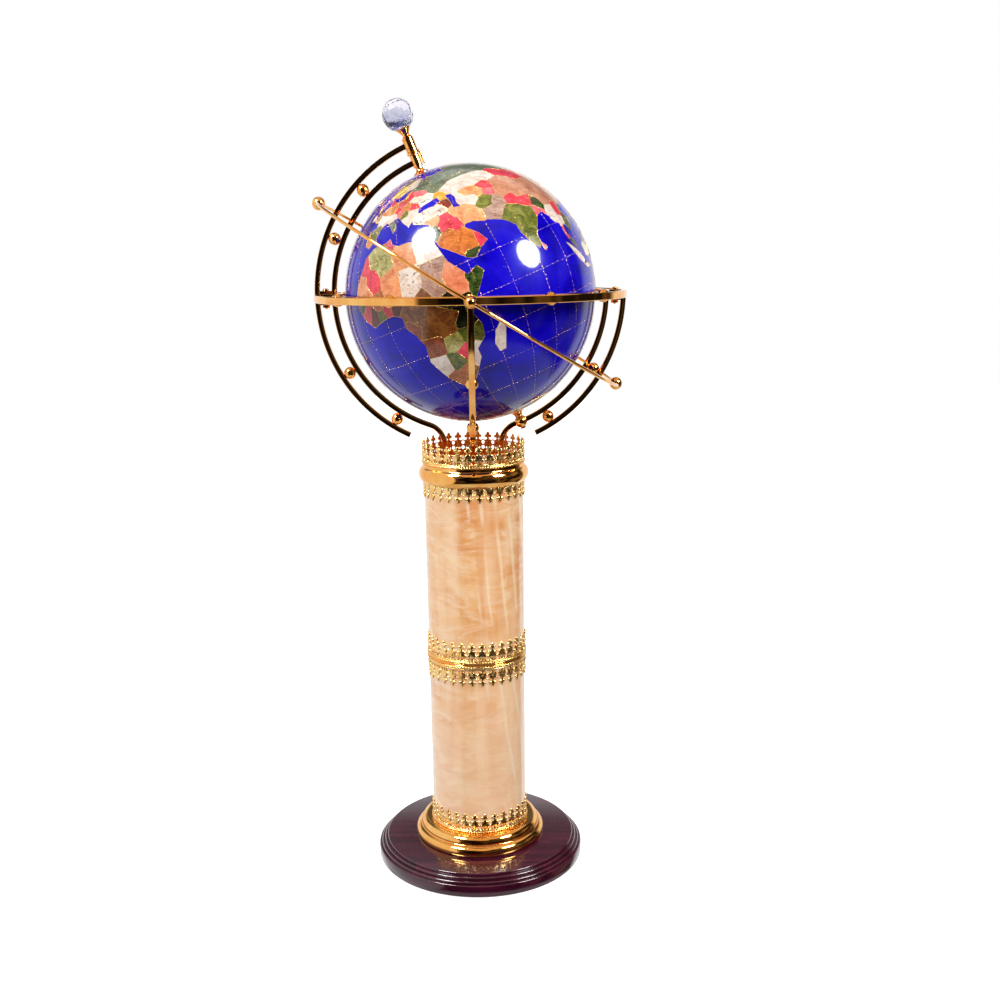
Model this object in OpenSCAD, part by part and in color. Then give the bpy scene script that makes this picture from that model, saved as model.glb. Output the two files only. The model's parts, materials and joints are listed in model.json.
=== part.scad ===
// Gemstone globe in an armillary cradle of double rails, on a tall onyx column with gilt galleries.
// Millimetres. Origin on the surface it stands on, under the middle of the base; +Z up, front at -Y.

/* [Globe] */
// Diameter of the globe
globe_d = 220; // [212:1:222]
// Height of the globe's centre above the table
globe_z = 541.4; // [540:0.2:545]
// Tilt of the polar axis from the vertical, north pole towards -X
axis_tilt = 21.5; // [18:0.5:26]
// Thickness of the inlaid stone skin
stone_t = 3; // [2:0.5:4]
// Thickness of the resin core under the stone
core_t = 3.5; // [3:0.5:5]

/* [Cradle rails] */
// Thickness of the brass bar that the rails and rings are made of, towards the globe's centre
rod = 4.6; // [4.4:0.1:5.4]
// Width of the rails' bar across that
rod_w = 5.2; // [5:0.1:6]
// Radius of the inner rails and of the inner horizon ring, at the middle of the bar
inner_r = 120; // [119:0.5:121]
// Radius of the outer rails and of the outer horizon ring, at the middle of the bar
outer_r = 135; // [134:0.5:136]
// Height of the horizon rings
horizon_h = 6.2; // [6:0.2:8]
// Angle below the horizon at which the outer rails end
outer_end_deg = 65; // [60:1:66]
// Angle below the horizon at which the inner rails turn down into the crown
inner_end_deg = 71; // [70:0.5:72]
// Bend radius of that turn, at the middle of the bar
bend_r = 20; // [16:0.5:24]
// Diameter of the balls between the rails
rail_ball_d = 10.8; // [10.6:0.1:11.6]

/* [Ecliptic ring] */
// Radius of the tilting ring
ecliptic_r = 152; // [151:0.5:154]
// Diameter of its round rod
ecliptic_rod = 2.8; // [2.4:0.1:3.2]
// Tilt of the ring as it stands, left end up
ecliptic_tilt = 31.4; // [20:0.2:40]
// Diameter of the beads at its two ends
bead_d = 11.5; // [10:0.5:12]

/* [Finial] */
// Diameter of the cut crystal ball
crystal_d = 27; // [24:0.5:28]
// Distance of the crystal ball from the globe's centre
crystal_r = 160.5; // [160:0.5:162]

/* [Column] */
// Outer diameter of the onyx column
column_d = 91.8; // [90:0.2:92]
// Bore of the onyx tubes
column_bore_d = 68; // [64:1:70]
// Height of the joint between the two onyx tubes
joint_z = 211; // [190:1:230]
// Height of the top of the upper tube
column_top_z = 384; // [383:0.5:385]
// Motifs around each pierced gallery
motifs = 30; // [24:1:32]
// Height of a gallery strip
gallery_h = 20; // [18:0.5:21]

/* [Base] */
// Diameter of the wooden base
base_d = 202.4; // [196:0.4:210]
// Height of the wooden base's top
base_top_z = 21.6; // [20:0.2:23]
// Thickness of the felt under the base
felt_t = 1.5; // [1:0.5:2]

/* [Hidden] */
$fn = 96;
// How far shapes that are fused into one solid reach into each other
lap = 0.02;
globe_r = globe_d / 2;
column_r = column_d / 2;
bore_r = column_bore_d / 2;
base_r = base_d / 2;
h_rod = rod / 2;

// Rails and rings
rail_gap_in = inner_r + h_rod;
rail_gap_out = outer_r - h_rod;
rail_mid = (inner_r + outer_r) / 2;
ring_z0 = globe_z - horizon_h / 2;
ring_z1 = globe_z + horizon_h / 2;
leg_turns = [180, 270, 0, 90];
lower_ball_degs = [31, 57.5];
upper_ball_degs = [23, 44.5];
horizon_ball_degs = [30, 60, 120, 150, 210, 240, 300, 330];
plate_t = 3;
plate_w = 8;
clamp_r = 1.5;
clamp_head_r = 2.8;
clamp_head_h = 2.2;
nut_h = 2.4;

// Where the inner rail's bend starts, its centre, and the upright below it
bend_x = inner_r * cos(inner_end_deg) + bend_r * cos(inner_end_deg);
bend_z = globe_z - (inner_r + bend_r) * sin(inner_end_deg);
upright_x = bend_x - bend_r;

// Column stack
disc_t = 3;
disc_z0 = joint_z - disc_t / 2;
disc_z1 = joint_z + disc_t / 2;
spigot_r = bore_r - 0.2;
spigot_h = 6;
gallery_t = 1;
gallery_r = column_r + gallery_t;
foot_top_z = base_top_z + 18;
foot_wall = 1.6;
capital_z = 384;
capital_bulge_r = 9.26;
capital_ring_r = 41.34;
capital_open_r = 47.4;
capital_half_h = 7;
flange_top_z = 392;
lip_top_z = 394.5;
lip_in_r = 44;
plate_top_z = flange_top_z + plate_t;
tie_r = 4;
tie_hole_r = 4.2;
tie_z0 = 4;
tie_z1 = 404;
m8_flat = 13;
recess_r = 14;
recess_z = 11;
washer_r = 10;
washer_t = 1.6;
leg_screw_r = 1.5;
leg_screw_depth = 8;

// Along the polar axis, measured from the globe's centre
spindle_r = 2;
spindle_r0 = 102.5;
spindle_r1 = 145;
lower_sleeve = [115.6, 126.2];
upper_sleeve = [128.8, 141];
lower_sleeve_r = 4.2;
upper_sleeve_r = 5;
collar_r = 5.5;
collar_gap = 0.1;
fit_gap = 0.05;
bush_r = 4;
bush_in = 101;
south_pin_r = 1.5;
south_ball_r = 5.75;
south_flat = 5;
north_cap_top = 115.4;
south_cap_top = 114.2;
thrust_t = 0.6;
pointer_off = 6;
pointer_rod_r = 1.3;
pointer_tip = 116.5;
cup_seat = 149;
cup_rim_r = 6.35;
neck_r = 3;
neck_top = 143.5;

// Front and back pivots of the ecliptic ring, measured along Y
stud_r = 1.5;
stud_in = 130;
eye_t = 3;
eye_r = 4;
eye_in = ecliptic_r - eye_t / 2;
eye_out = ecliptic_r + eye_t / 2;
spacer_r = 2.75;
spacer_flange_r = 5;
spacer_flange_t = 1.5;
knob_r = 4.2;
knob_flat = 3.4;
knob_y = eye_out + 0.1 + knob_flat;
stud_out = knob_y + 1.5;

// ---------------------------------------------------------------- shared shapes

module washer_disc(r, hole_r, z0, z1) {
    translate([0, 0, z0]) difference() {
        cylinder(r = r, h = z1 - z0);
        translate([0, 0, -1]) cylinder(r = hole_r, h = z1 - z0 + 2);
    }
}

module tube(r, hole_r, z0, z1) {
    washer_disc(r, hole_r, z0, z1);
}

// Turns a shape into the globe's frame, with +Z along the polar axis to the north
module polar() {
    translate([0, 0, globe_z]) rotate([0, -axis_tilt, 0]) children();
}

// The same frame with +Z to the south
module polar_south() {
    polar() rotate([180, 0, 0]) children();
}

// Bar bent to an arc in the XZ plane about the globe's centre; 0 degrees is +X, 90 is up
module rail_arc(r, from_deg, to_deg) {
    translate([0, 0, globe_z]) rotate([90, 0, 0])
        rotate_extrude(angle = to_deg - from_deg, start = from_deg, $fn = 180)
            translate([r - h_rod, -rod_w / 2]) square([rod, rod_w]);
}

// Everything between the inner and the outer rail, as a ring in the XZ plane
module rail_gap(w) {
    translate([0, 0, globe_z]) rotate([90, 0, 0]) rotate_extrude($fn = 180)
        translate([rail_gap_in, -w / 2]) square([rail_gap_out - rail_gap_in, w]);
}

module below(z) {
    translate([-300, -300, z - 900]) cube([600, 600, 900]);
}

module above(z) {
    translate([-300, -300, z]) cube([600, 600, 900]);
}

// ---------------------------------------------------------------- base and column

module base_felt() {
    color("#2b3a2e") washer_disc(base_r - 5, recess_r, 0, felt_t);
}

module base_plinth() {
    color("#4a1620") difference() {
        union() {
            rotate_extrude($fn = 180) polygon([
                [0, felt_t], [base_r - 0.8, felt_t], [base_r, felt_t + 0.8], [base_r, 11.6],
                [base_r - 0.5, 12.5], [base_r - 1.6, 13], [base_r - 2.8, 12.6], [base_r - 3.2, 13.4],
                [base_r - 5.6, 15.4], [base_r - 6, 16.4], [base_r - 8.2, 18.4], [base_r - 8.6, 19.4],
                [base_r - 8.9, base_top_z - 0.6], [base_r - 9.6, base_top_z], [0, base_top_z]
            ]);
            rotate_extrude($fn = 180) translate([base_r - 4.6, 14.2]) circle(r = 1.7, $fn = 32);
            rotate_extrude($fn = 180) translate([base_r - 7.3, 17.3]) circle(r = 1.7, $fn = 32);
        }
        translate([0, 0, -1]) cylinder(r = tie_hole_r, h = base_top_z + 2);
        translate([0, 0, felt_t - 1]) cylinder(r = recess_r, h = recess_z - felt_t + 1);
    }
}

// Outline of the foot's two rounds, the wider one below, set in by a wall's thickness when hollowed
module foot_outline(inset) {
    lower_c = [57.2, base_top_z + 3.8];
    upper_c = [51.4, base_top_z + 11.6];
    wall_r = column_r + 0.2 + inset;
    intersection() {
        union() {
            translate([wall_r, base_top_z]) square([lower_c[0] - wall_r, 5]);
            translate([wall_r, base_top_z]) square([upper_c[0] - wall_r, 18 - inset]);
            translate(lower_c) circle(r = 6.2 - inset, $fn = 64);
            translate(upper_c) circle(r = 6.4 - inset, $fn = 64);
        }
        translate([wall_r, 0]) square(100);
    }
}

// Moulding spun from sheet, hollow underneath
module column_foot() {
    color("#d9a441") difference() {
        rotate_extrude($fn = 180) foot_outline(0);
        rotate_extrude($fn = 180) foot_outline(foot_wall);
        cylinder(r = 80, h = base_top_z);
    }
}

module foot_register() {
    color("#8d8d8d") washer_disc(spigot_r, tie_hole_r, base_top_z, base_top_z + spigot_h);
}

module lower_column() {
    color("#efcfa0") tube(column_r, bore_r, base_top_z, disc_z0);
}

module upper_column() {
    color("#efcfa0") tube(column_r, bore_r, disc_z1, column_top_z);
}

module mid_joint_disc() {
    color("#d9a441") difference() {
        union() {
            translate([0, 0, disc_z0]) cylinder(r = gallery_r, h = disc_t);
            translate([0, 0, disc_z0 - spigot_h]) cylinder(r = spigot_r, h = disc_t + 2 * spigot_h);
        }
        translate([0, 0, disc_z0 - spigot_h - 1]) cylinder(r = tie_hole_r, h = disc_t + 2 * spigot_h + 2);
    }
}

// Right half of the three openings between two fleurs, from the bottom up
low_window = [[3.7, 3.4], [4, 4.2], [2, 6], [3.6, 7.9]];
high_window = [[3.5, 8.9], [4, 10], [2.5, 11.4], [0, 11.7]];
top_notch = [[0, 12.5], [2.5, 12.9], [3.9, 14.4], [4.2, 16.2], [3.1, 18], [4.75, gallery_h + 0.2]];

module both_halves(half) {
    first = half[0][0] == 0 ? 1 : 0;
    last = half[len(half) - 1][0] == 0 ? 2 : 1;
    polygon(concat(half, [for (i = [len(half) - last : -1 : first]) [-half[i][0], half[i][1]]]));
}

// Pierced strip rolled into a ring; its band is at the bottom and the fleurs point up
module gallery() {
    difference() {
        union() {
            tube(gallery_r, column_r, 0, gallery_h);
            tube(gallery_r + 0.5, column_r + 0.5, 0, 1.2);
        }
        for (i = [0 : motifs - 1]) rotate([0, 0, i * 360 / motifs]) {
            translate([column_r - 2, 0, 0]) rotate([90, 0, 90]) linear_extrude(5) both_halves(low_window);
            translate([column_r - 2, 0, 0]) rotate([90, 0, 90]) linear_extrude(5) both_halves(high_window);
            translate([column_r - 2, 0, 0]) rotate([90, 0, 90]) linear_extrude(5) both_halves(top_notch);
        }
    }
}

module foot_gallery() {
    color("#e0bd6a") translate([0, 0, foot_top_z]) gallery();
}

module mid_gallery_lower() {
    color("#e0bd6a") translate([0, 0, disc_z0]) mirror([0, 0, 1]) gallery();
}

module mid_gallery_upper() {
    color("#e0bd6a") translate([0, 0, disc_z1]) gallery();
}

module neck_gallery() {
    color("#e0bd6a") translate([0, 0, column_top_z - 1]) mirror([0, 0, 1]) gallery();
}

module crown_gallery() {
    color("#e0bd6a") translate([0, 0, lip_top_z]) gallery();
}

// Turned capital: a fat half round, a flange that clamps the tube, and a lip that holds the crown
module capital_ring() {
    color("#d9a441") difference() {
        union() {
            rotate_extrude($fn = 180) intersection() {
                translate([capital_ring_r, capital_z]) circle(r = capital_bulge_r, $fn = 96);
                translate([capital_open_r, capital_z - capital_half_h])
                    square([10, 2 * capital_half_h]);
            }
            translate([0, 0, column_top_z]) cylinder(r = capital_open_r + 1, h = capital_half_h);
            translate([0, 0, column_top_z]) cylinder(r = capital_open_r, h = lip_top_z - column_top_z);
            translate([0, 0, column_top_z - spigot_h]) cylinder(r = spigot_r, h = spigot_h + 1);
        }
        translate([0, 0, flange_top_z]) cylinder(r = lip_in_r, h = 10);
        translate([0, 0, column_top_z - spigot_h - 1]) cylinder(r = spigot_r - 1.4, h = 20);
    }
}

module top_plate() {
    color("#c8963c") difference() {
        translate([0, 0, flange_top_z]) cylinder(r = lip_in_r - 0.2, h = plate_t);
        translate([0, 0, flange_top_z - 1]) cylinder(r = tie_hole_r, h = plate_t + 2);
        for (a = leg_turns) rotate([0, 0, a])
            translate([upright_x, 0, flange_top_z - 1]) cylinder(r = leg_screw_r, h = plate_t + 2, $fn = 32);
    }
}

// ---------------------------------------------------------------- tie rod through the column

module hex_nut(flat, h) {
    cylinder(d = flat / cos(30), h = h, $fn = 6);
}

module tie_rod() {
    color("#9a9a9a") translate([0, 0, tie_z0]) cylinder(r = tie_r, h = tie_z1 - tie_z0);
}

module tie_rod_washers() {
    color("#9a9a9a") {
        washer_disc(washer_r, tie_hole_r, recess_z - washer_t, recess_z);
        washer_disc(washer_r, tie_hole_r, plate_top_z, plate_top_z + washer_t);
    }
}

module tie_rod_nut() {
    color("#9a9a9a") translate([0, 0, recess_z - washer_t - 4.6]) difference() {
        hex_nut(m8_flat, 4.6);
        translate([0, 0, -1]) cylinder(r = tie_r, h = 8);
    }
}

module tie_rod_cap_nut() {
    color("#d9a441") translate([0, 0, plate_top_z + washer_t]) difference() {
        union() {
            hex_nut(m8_flat, 6.5);
            translate([0, 0, 6.5]) intersection() {
                sphere(r = 6.2, $fn = 48);
                translate([-10, -10, -1]) cube([20, 20, 20]);
            }
        }
        translate([0, 0, -1]) cylinder(r = tie_r, h = tie_z1 - plate_top_z - washer_t + 1);
    }
}

// ---------------------------------------------------------------- cradle

// Inner rail of one leg, on +X: arc, turn and upright, with the hole for its foot screw
module leg_inner() {
    difference() {
        union() {
            rail_arc(inner_r, -inner_end_deg, 0);
            translate([bend_x, 0, bend_z]) rotate([90, 0, 0])
                rotate_extrude(angle = inner_end_deg, start = 180 - inner_end_deg, $fn = 96)
                    translate([bend_r - h_rod, -rod_w / 2]) square([rod, rod_w]);
            translate([upright_x - h_rod, -rod_w / 2, plate_top_z])
                cube([rod, rod_w, bend_z - plate_top_z + lap]);
        }
        above(ring_z0);
        translate([upright_x, 0, plate_top_z - 1])
            cylinder(r = leg_screw_r, h = leg_screw_depth + 1, $fn = 32);
    }
}

module leg_outer() {
    difference() {
        rail_arc(outer_r, -outer_end_deg, 0);
        above(ring_z0);
    }
}

module leg_left_inner() { color("#c8963c") rotate([0, 0, leg_turns[0]]) leg_inner(); }
module leg_left_outer() { color("#c8963c") rotate([0, 0, leg_turns[0]]) leg_outer(); }
module leg_front_inner() { color("#c8963c") rotate([0, 0, leg_turns[1]]) leg_inner(); }
module leg_front_outer() { color("#c8963c") rotate([0, 0, leg_turns[1]]) leg_outer(); }
module leg_right_outer() { color("#c8963c") rotate([0, 0, leg_turns[2]]) leg_outer(); }
module leg_back_inner() { color("#c8963c") rotate([0, 0, leg_turns[3]]) leg_inner(); }
module leg_back_outer() { color("#c8963c") rotate([0, 0, leg_turns[3]]) leg_outer(); }

// The right inner rail also carries the south pivot
module leg_right_inner() {
    color("#c8963c") difference() {
        leg_inner();
        polar_south() translate([0, 0, inner_r - 10]) cylinder(r = south_pin_r, h = 20, $fn = 48);
    }
}

module meridian_inner() {
    color("#c8963c") difference() {
        rail_arc(inner_r, 90 + axis_tilt, 180);
        below(ring_z1);
        polar() translate([0, 0, inner_r - 20]) cylinder(r = lower_sleeve_r, h = 40);
    }
}

module meridian_outer() {
    color("#c8963c") difference() {
        rail_arc(outer_r, 90 + axis_tilt, 180);
        below(ring_z1);
        polar() translate([0, 0, outer_r - 20]) cylinder(r = upper_sleeve_r, h = 40);
    }
}

module rail_ball(deg) {
    intersection() {
        translate([rail_mid * cos(deg), 0, globe_z + rail_mid * sin(deg)]) sphere(d = rail_ball_d, $fn = 48);
        rail_gap(rail_ball_d + 2);
    }
}

module rail_balls() {
    color("#e0b050") {
        for (turn = leg_turns) for (deg = lower_ball_degs) rotate([0, 0, turn]) rail_ball(-deg);
        for (deg = upper_ball_degs) rail_ball(180 - deg);
    }
}

module horizon_ring(r) {
    rotate_extrude($fn = 180) translate([r - h_rod, ring_z0]) square([rod, horizon_h]);
}

// Holes along Y for the two pivot studs
module stud_holes() {
    for (s = [-1, 1]) translate([0, s * stud_in, globe_z]) rotate([-s * 90, 0, 0])
        cylinder(r = stud_r, h = 20, $fn = 48);
}

module horizon_outer_ring() {
    color("#d9a441") difference() {
        horizon_ring(outer_r);
        stud_holes();
    }
}

module horizon_inner_ring() {
    color("#d9a441") horizon_ring(inner_r);
}

module horizon_bridges() {
    color("#c8963c") difference() {
        intersection() {
            tube(rail_gap_out, rail_gap_in, ring_z0, ring_z1);
            for (turn = leg_turns) rotate([0, 0, turn])
                translate([rail_gap_in - 5, -plate_w / 2, ring_z0]) cube([30, plate_w, horizon_h]);
        }
        for (turn = leg_turns) rotate([0, 0, turn])
            translate([rail_mid, 0, ring_z0 - 1]) cylinder(r = clamp_r, h = horizon_h + 2, $fn = 32);
        stud_holes();
    }
}

module horizon_balls() {
    color("#e0b050") intersection() {
        for (a = horizon_ball_degs) rotate([0, 0, a])
            translate([rail_mid, 0, globe_z]) sphere(d = rail_ball_d, $fn = 48);
        tube(rail_gap_out, rail_gap_in, ring_z0 - 5, ring_z1 + 5);
    }
}

// Small plates brazed between the rails, against the underside of the bridges (and on top at the left)
module rail_plate(z0) {
    difference() {
        intersection() {
            rail_gap(plate_w);
            translate([rail_gap_in - 5, -plate_w / 2, z0]) cube([30, plate_w, plate_t]);
        }
        translate([rail_mid, 0, z0 - 1]) cylinder(r = clamp_r, h = plate_t + 2, $fn = 32);
    }
}

module rail_plates() {
    color("#c8963c") {
        for (turn = leg_turns) rotate([0, 0, turn]) rail_plate(ring_z0 - plate_t);
        rotate([0, 0, leg_turns[0]]) rail_plate(ring_z1);
    }
}

module clamp_screw(head_z) {
    translate([rail_mid, 0, ring_z0 - plate_t - nut_h])
        cylinder(r = clamp_r, h = head_z - ring_z0 + plate_t + nut_h, $fn = 32);
    translate([rail_mid, 0, head_z]) difference() {
        cylinder(r = clamp_head_r, h = clamp_head_h, $fn = 48);
        translate([-5, -0.4, 1.3]) cube([10, 0.8, 2]);
    }
}

module clamp_screws() {
    color("#b5852f") for (i = [0 : 3]) rotate([0, 0, leg_turns[i]])
        clamp_screw(i == 0 ? ring_z1 + plate_t : ring_z1);
}

module clamp_nuts() {
    color("#b5852f") for (turn = leg_turns) rotate([0, 0, turn])
        translate([rail_mid, 0, ring_z0 - plate_t - nut_h - 1]) difference() {
            union() {
                translate([0, 0, 1]) hex_nut(5.5, nut_h);
                cylinder(r = 2.2, h = 1 + lap, $fn = 32);
            }
            translate([0, 0, 1]) cylinder(r = clamp_r, h = nut_h + 1, $fn = 32);
        }
}

module leg_screws() {
    color("#9a9a9a") for (turn = leg_turns) rotate([0, 0, turn]) translate([upright_x, 0, 0]) {
        translate([0, 0, flange_top_z - 2]) cylinder(r = 2.3, h = 2, $fn = 48);
        translate([0, 0, flange_top_z - 1]) cylinder(r = leg_screw_r, h = plate_t + leg_screw_depth, $fn = 32);
    }
}

// ---------------------------------------------------------------- north fitting and finial

module polar_spindle() {
    color("#c8963c") polar() translate([0, 0, spindle_r0]) cylinder(r = spindle_r, h = spindle_r1 - spindle_r0);
}

module north_lower_sleeve() {
    color("#d9a441") polar() tube(lower_sleeve_r, spindle_r, lower_sleeve[0], lower_sleeve[1]);
}

module north_upper_sleeve() {
    color("#d9a441") polar() tube(upper_sleeve_r, spindle_r, upper_sleeve[0], upper_sleeve[1]);
}

module finial_cup() {
    color("#d9a441") polar() difference() {
        rotate_extrude() polygon([
            [0, upper_sleeve[1]], [4, upper_sleeve[1]], [neck_r, upper_sleeve[1] + 1], [neck_r, neck_top],
            [3.8, neck_top + 1.6], [5.2, neck_top + 3.4], [cup_rim_r, cup_seat - 0.6], [cup_rim_r, cup_seat],
            [0, cup_seat]
        ]);
        translate([0, 0, upper_sleeve[1] - 1]) cylinder(r = spindle_r, h = spindle_r1 - upper_sleeve[1] + 1);
        translate([0, 0, crystal_r]) sphere(d = crystal_d);
    }
}

module crystal_ball() {
    color("#dfe8f5", 0.5) polar() translate([0, 0, crystal_r]) sphere(d = crystal_d);
}

// Turning collar on the spindle between the sleeves, with a round pointer towards the globe
module index_pointer() {
    z0 = lower_sleeve[1] + collar_gap;
    z1 = upper_sleeve[0] - collar_gap;
    color("#e0b050") polar() difference() {
        union() {
            translate([0, 0, z0]) cylinder(r = collar_r, h = z1 - z0);
            translate([0, -1, z0]) cube([pointer_off, 2, z1 - z0]);
            translate([pointer_off, 0, pointer_tip])
                cylinder(r = pointer_rod_r, h = z1 - pointer_tip, $fn = 32);
        }
        translate([0, 0, z0 - 1]) cylinder(r = spindle_r + fit_gap, h = z1 - z0 + 2);
    }
}

// ---------------------------------------------------------------- south pivot

// Ball threaded on the right inner rail, with a flat towards the globe
module south_ball_boss() {
    color("#d9a441") difference() {
        polar_south() translate([0, 0, inner_r]) difference() {
            sphere(r = south_ball_r, $fn = 64);
            translate([-10, -10, -20 - south_flat]) cube([20, 20, 20]);
            translate([0, 0, -10]) cylinder(r = south_pin_r, h = 20, $fn = 48);
        }
        rail_arc(inner_r, -90, -45);
    }
}

module south_pivot_pin() {
    color("#c8963c") polar_south() {
        translate([0, 0, 102.5]) cylinder(r = south_pin_r, h = inner_r + 6.4 - 102.5, $fn = 48);
        translate([0, 0, inner_r + 5.55]) cylinder(r = 2.4, h = 1.2, $fn = 48);
    }
}

module south_thrust_washer() {
    z1 = inner_r - south_flat;
    color("#e8e4d8") polar_south() tube(3.4, south_pin_r, z1 - thrust_t, z1);
}

// ---------------------------------------------------------------- ecliptic ring and its pivots

module pivot_studs() {
    color("#c8963c") for (s = [-1, 1]) translate([0, s * stud_in, globe_z]) rotate([-s * 90, 0, 0])
        cylinder(r = stud_r, h = stud_out - stud_in, $fn = 48);
}

module stud_spacers() {
    y0 = outer_r + h_rod;
    y1 = eye_in - 0.1;
    color("#d9a441") for (s = [-1, 1]) difference() {
        translate([0, 0, globe_z]) rotate([-s * 90, 0, 0]) union() {
            translate([0, 0, y0 - 0.5]) cylinder(r = spacer_r, h = y1 - y0 + 0.5, $fn = 48);
            translate([0, 0, y1 - spacer_flange_t])
                cylinder(r = spacer_flange_r, h = spacer_flange_t, $fn = 64);
        }
        translate([0, 0, globe_z]) rotate([-s * 90, 0, 0])
            cylinder(r = stud_r, h = ecliptic_r + 10, $fn = 48);
        horizon_ring(outer_r);
    }
}

module ball_knobs() {
    color("#e0b050") for (s = [-1, 1]) translate([0, 0, globe_z]) rotate([-s * 90, 0, 0]) difference() {
        translate([0, 0, knob_y]) sphere(r = knob_r, $fn = 64);
        translate([-10, -10, knob_y - knob_flat - 20]) cube([20, 20, 20]);
        cylinder(r = stud_r, h = stud_out, $fn = 48);
    }
}

module in_ecliptic() {
    translate([0, 0, globe_z]) rotate([0, ecliptic_tilt, 0]) children();
}

module ecliptic_hoop() {
    rotate_extrude($fn = 180) translate([ecliptic_r, 0]) circle(d = ecliptic_rod, $fn = 32);
}

module ecliptic_ring() {
    color("#d9a441") in_ecliptic() difference() {
        union() {
            ecliptic_hoop();
            for (s = [-1, 1]) rotate([-s * 90, 0, 0])
                translate([0, 0, eye_in]) cylinder(r = eye_r, h = eye_t, $fn = 64);
        }
        for (s = [-1, 1]) rotate([-s * 90, 0, 0])
            translate([0, 0, eye_in - 5]) cylinder(r = stud_r + fit_gap, h = eye_t + 10, $fn = 48);
    }
}

module ecliptic_beads() {
    color("#e0b050") in_ecliptic() for (s = [-1, 1]) difference() {
        translate([s * ecliptic_r, 0, 0]) sphere(d = bead_d, $fn = 64);
        ecliptic_hoop();
    }
}

// ---------------------------------------------------------------- globe

// Half of a hollow ball on +Z, with a round hole at the pole
module half_shell(r, t) {
    difference() {
        sphere(r = r, $fn = 180);
        sphere(r = r - t, $fn = 180);
        translate([-300, -300, -600]) cube([600, 600, 600]);
        translate([0, 0, r - 30]) cylinder(r = bush_r, h = 60, $fn = 48);
    }
}

module globe_core_north() { color("#d8cdb4") polar() half_shell(globe_r - stone_t, core_t); }
module globe_core_south() { color("#d8cdb4") polar_south() half_shell(globe_r - stone_t, core_t); }
module stone_shell_north() { color("#1a18b8") polar() half_shell(globe_r, stone_t); }
module stone_shell_south() { color("#1a18b8") polar_south() half_shell(globe_r, stone_t); }

// Glue band inside the joint of the two core halves
module equator_band() {
    r = globe_r - stone_t - core_t;
    color("#c9bd9f") polar() intersection() {
        tube(r + 5, r - 2.4, -6, 6);
        sphere(r = r, $fn = 180);
    }
}

module pole_bushings() {
    color("#c8963c") {
        polar() pole_bushing(spindle_r + fit_gap);
        polar_south() pole_bushing(south_pin_r + fit_gap);
    }
}

module pole_bushing(hole_r) {
    intersection() {
        tube(bush_r, hole_r, bush_in, globe_r + 5);
        sphere(r = globe_r, $fn = 180);
    }
}

// Flared cap seated on the stone at a pole; its bore clears the pin
module pole_cap(top, foot_r, neck, hole_r) {
    difference() {
        rotate_extrude() polygon([
            [0, globe_r - 2], [foot_r, globe_r - 2], [foot_r, globe_r + 0.3], [foot_r - 0.8, globe_r + 0.9],
            [neck + 1.2, globe_r + 2], [neck, top - 1.2], [neck, top], [0, top]
        ]);
        sphere(r = globe_r, $fn = 180);
        translate([0, 0, globe_r - 5]) cylinder(r = hole_r, h = 20, $fn = 48);
    }
}

module north_pole_cap() {
    color("#d9a441") polar() pole_cap(north_cap_top, 7.2, 3.1, spindle_r + 0.3);
}

module south_pole_cap() {
    color("#d9a441") polar_south() pole_cap(south_cap_top, 6, 3.8, south_pin_r + 0.3);
}

base_felt();
base_plinth();
column_foot();
foot_register();
foot_gallery();
lower_column();
mid_joint_disc();
mid_gallery_lower();
mid_gallery_upper();
upper_column();
neck_gallery();
capital_ring();
crown_gallery();
top_plate();
tie_rod();
tie_rod_washers();
tie_rod_nut();
tie_rod_cap_nut();
leg_left_inner();
leg_left_outer();
leg_front_inner();
leg_front_outer();
leg_right_inner();
leg_right_outer();
leg_back_inner();
leg_back_outer();
meridian_inner();
meridian_outer();
rail_balls();
horizon_outer_ring();
horizon_inner_ring();
horizon_bridges();
horizon_balls();
rail_plates();
clamp_screws();
clamp_nuts();
leg_screws();
polar_spindle();
north_lower_sleeve();
north_upper_sleeve();
finial_cup();
crystal_ball();
index_pointer();
south_ball_boss();
south_pivot_pin();
south_thrust_washer();
pivot_studs();
stud_spacers();
ball_knobs();
ecliptic_ring();
ecliptic_beads();
globe_core_north();
globe_core_south();
equator_band();
stone_shell_north();
stone_shell_south();
pole_bushings();
north_pole_cap();
south_pole_cap();
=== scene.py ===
import json
import math
import random

import bmesh
import bpy
from mathutils import Matrix, Vector
from mathutils.geometry import delaunay_2d_cdt


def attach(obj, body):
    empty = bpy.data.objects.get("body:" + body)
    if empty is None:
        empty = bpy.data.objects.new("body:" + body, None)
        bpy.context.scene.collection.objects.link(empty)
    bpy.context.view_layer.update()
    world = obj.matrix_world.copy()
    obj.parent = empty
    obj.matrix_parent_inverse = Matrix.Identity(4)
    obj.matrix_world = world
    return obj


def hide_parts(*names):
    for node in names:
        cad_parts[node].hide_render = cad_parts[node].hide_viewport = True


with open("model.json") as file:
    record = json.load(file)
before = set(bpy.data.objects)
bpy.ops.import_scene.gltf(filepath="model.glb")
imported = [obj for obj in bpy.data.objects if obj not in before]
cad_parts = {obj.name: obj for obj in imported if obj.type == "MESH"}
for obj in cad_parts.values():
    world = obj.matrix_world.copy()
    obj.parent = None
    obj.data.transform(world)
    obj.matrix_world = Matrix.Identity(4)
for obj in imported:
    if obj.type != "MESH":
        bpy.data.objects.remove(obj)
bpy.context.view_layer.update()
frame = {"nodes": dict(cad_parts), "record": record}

random.seed(11)
MM = 0.001
TAU = 2 * math.pi

# ---- sizes of the frame, in millimetres
GLOBE_Z, GLOBE_R = 541.4, 110.0
TILT = math.radians(21.5)
COLUMN_R = 45.9
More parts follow.
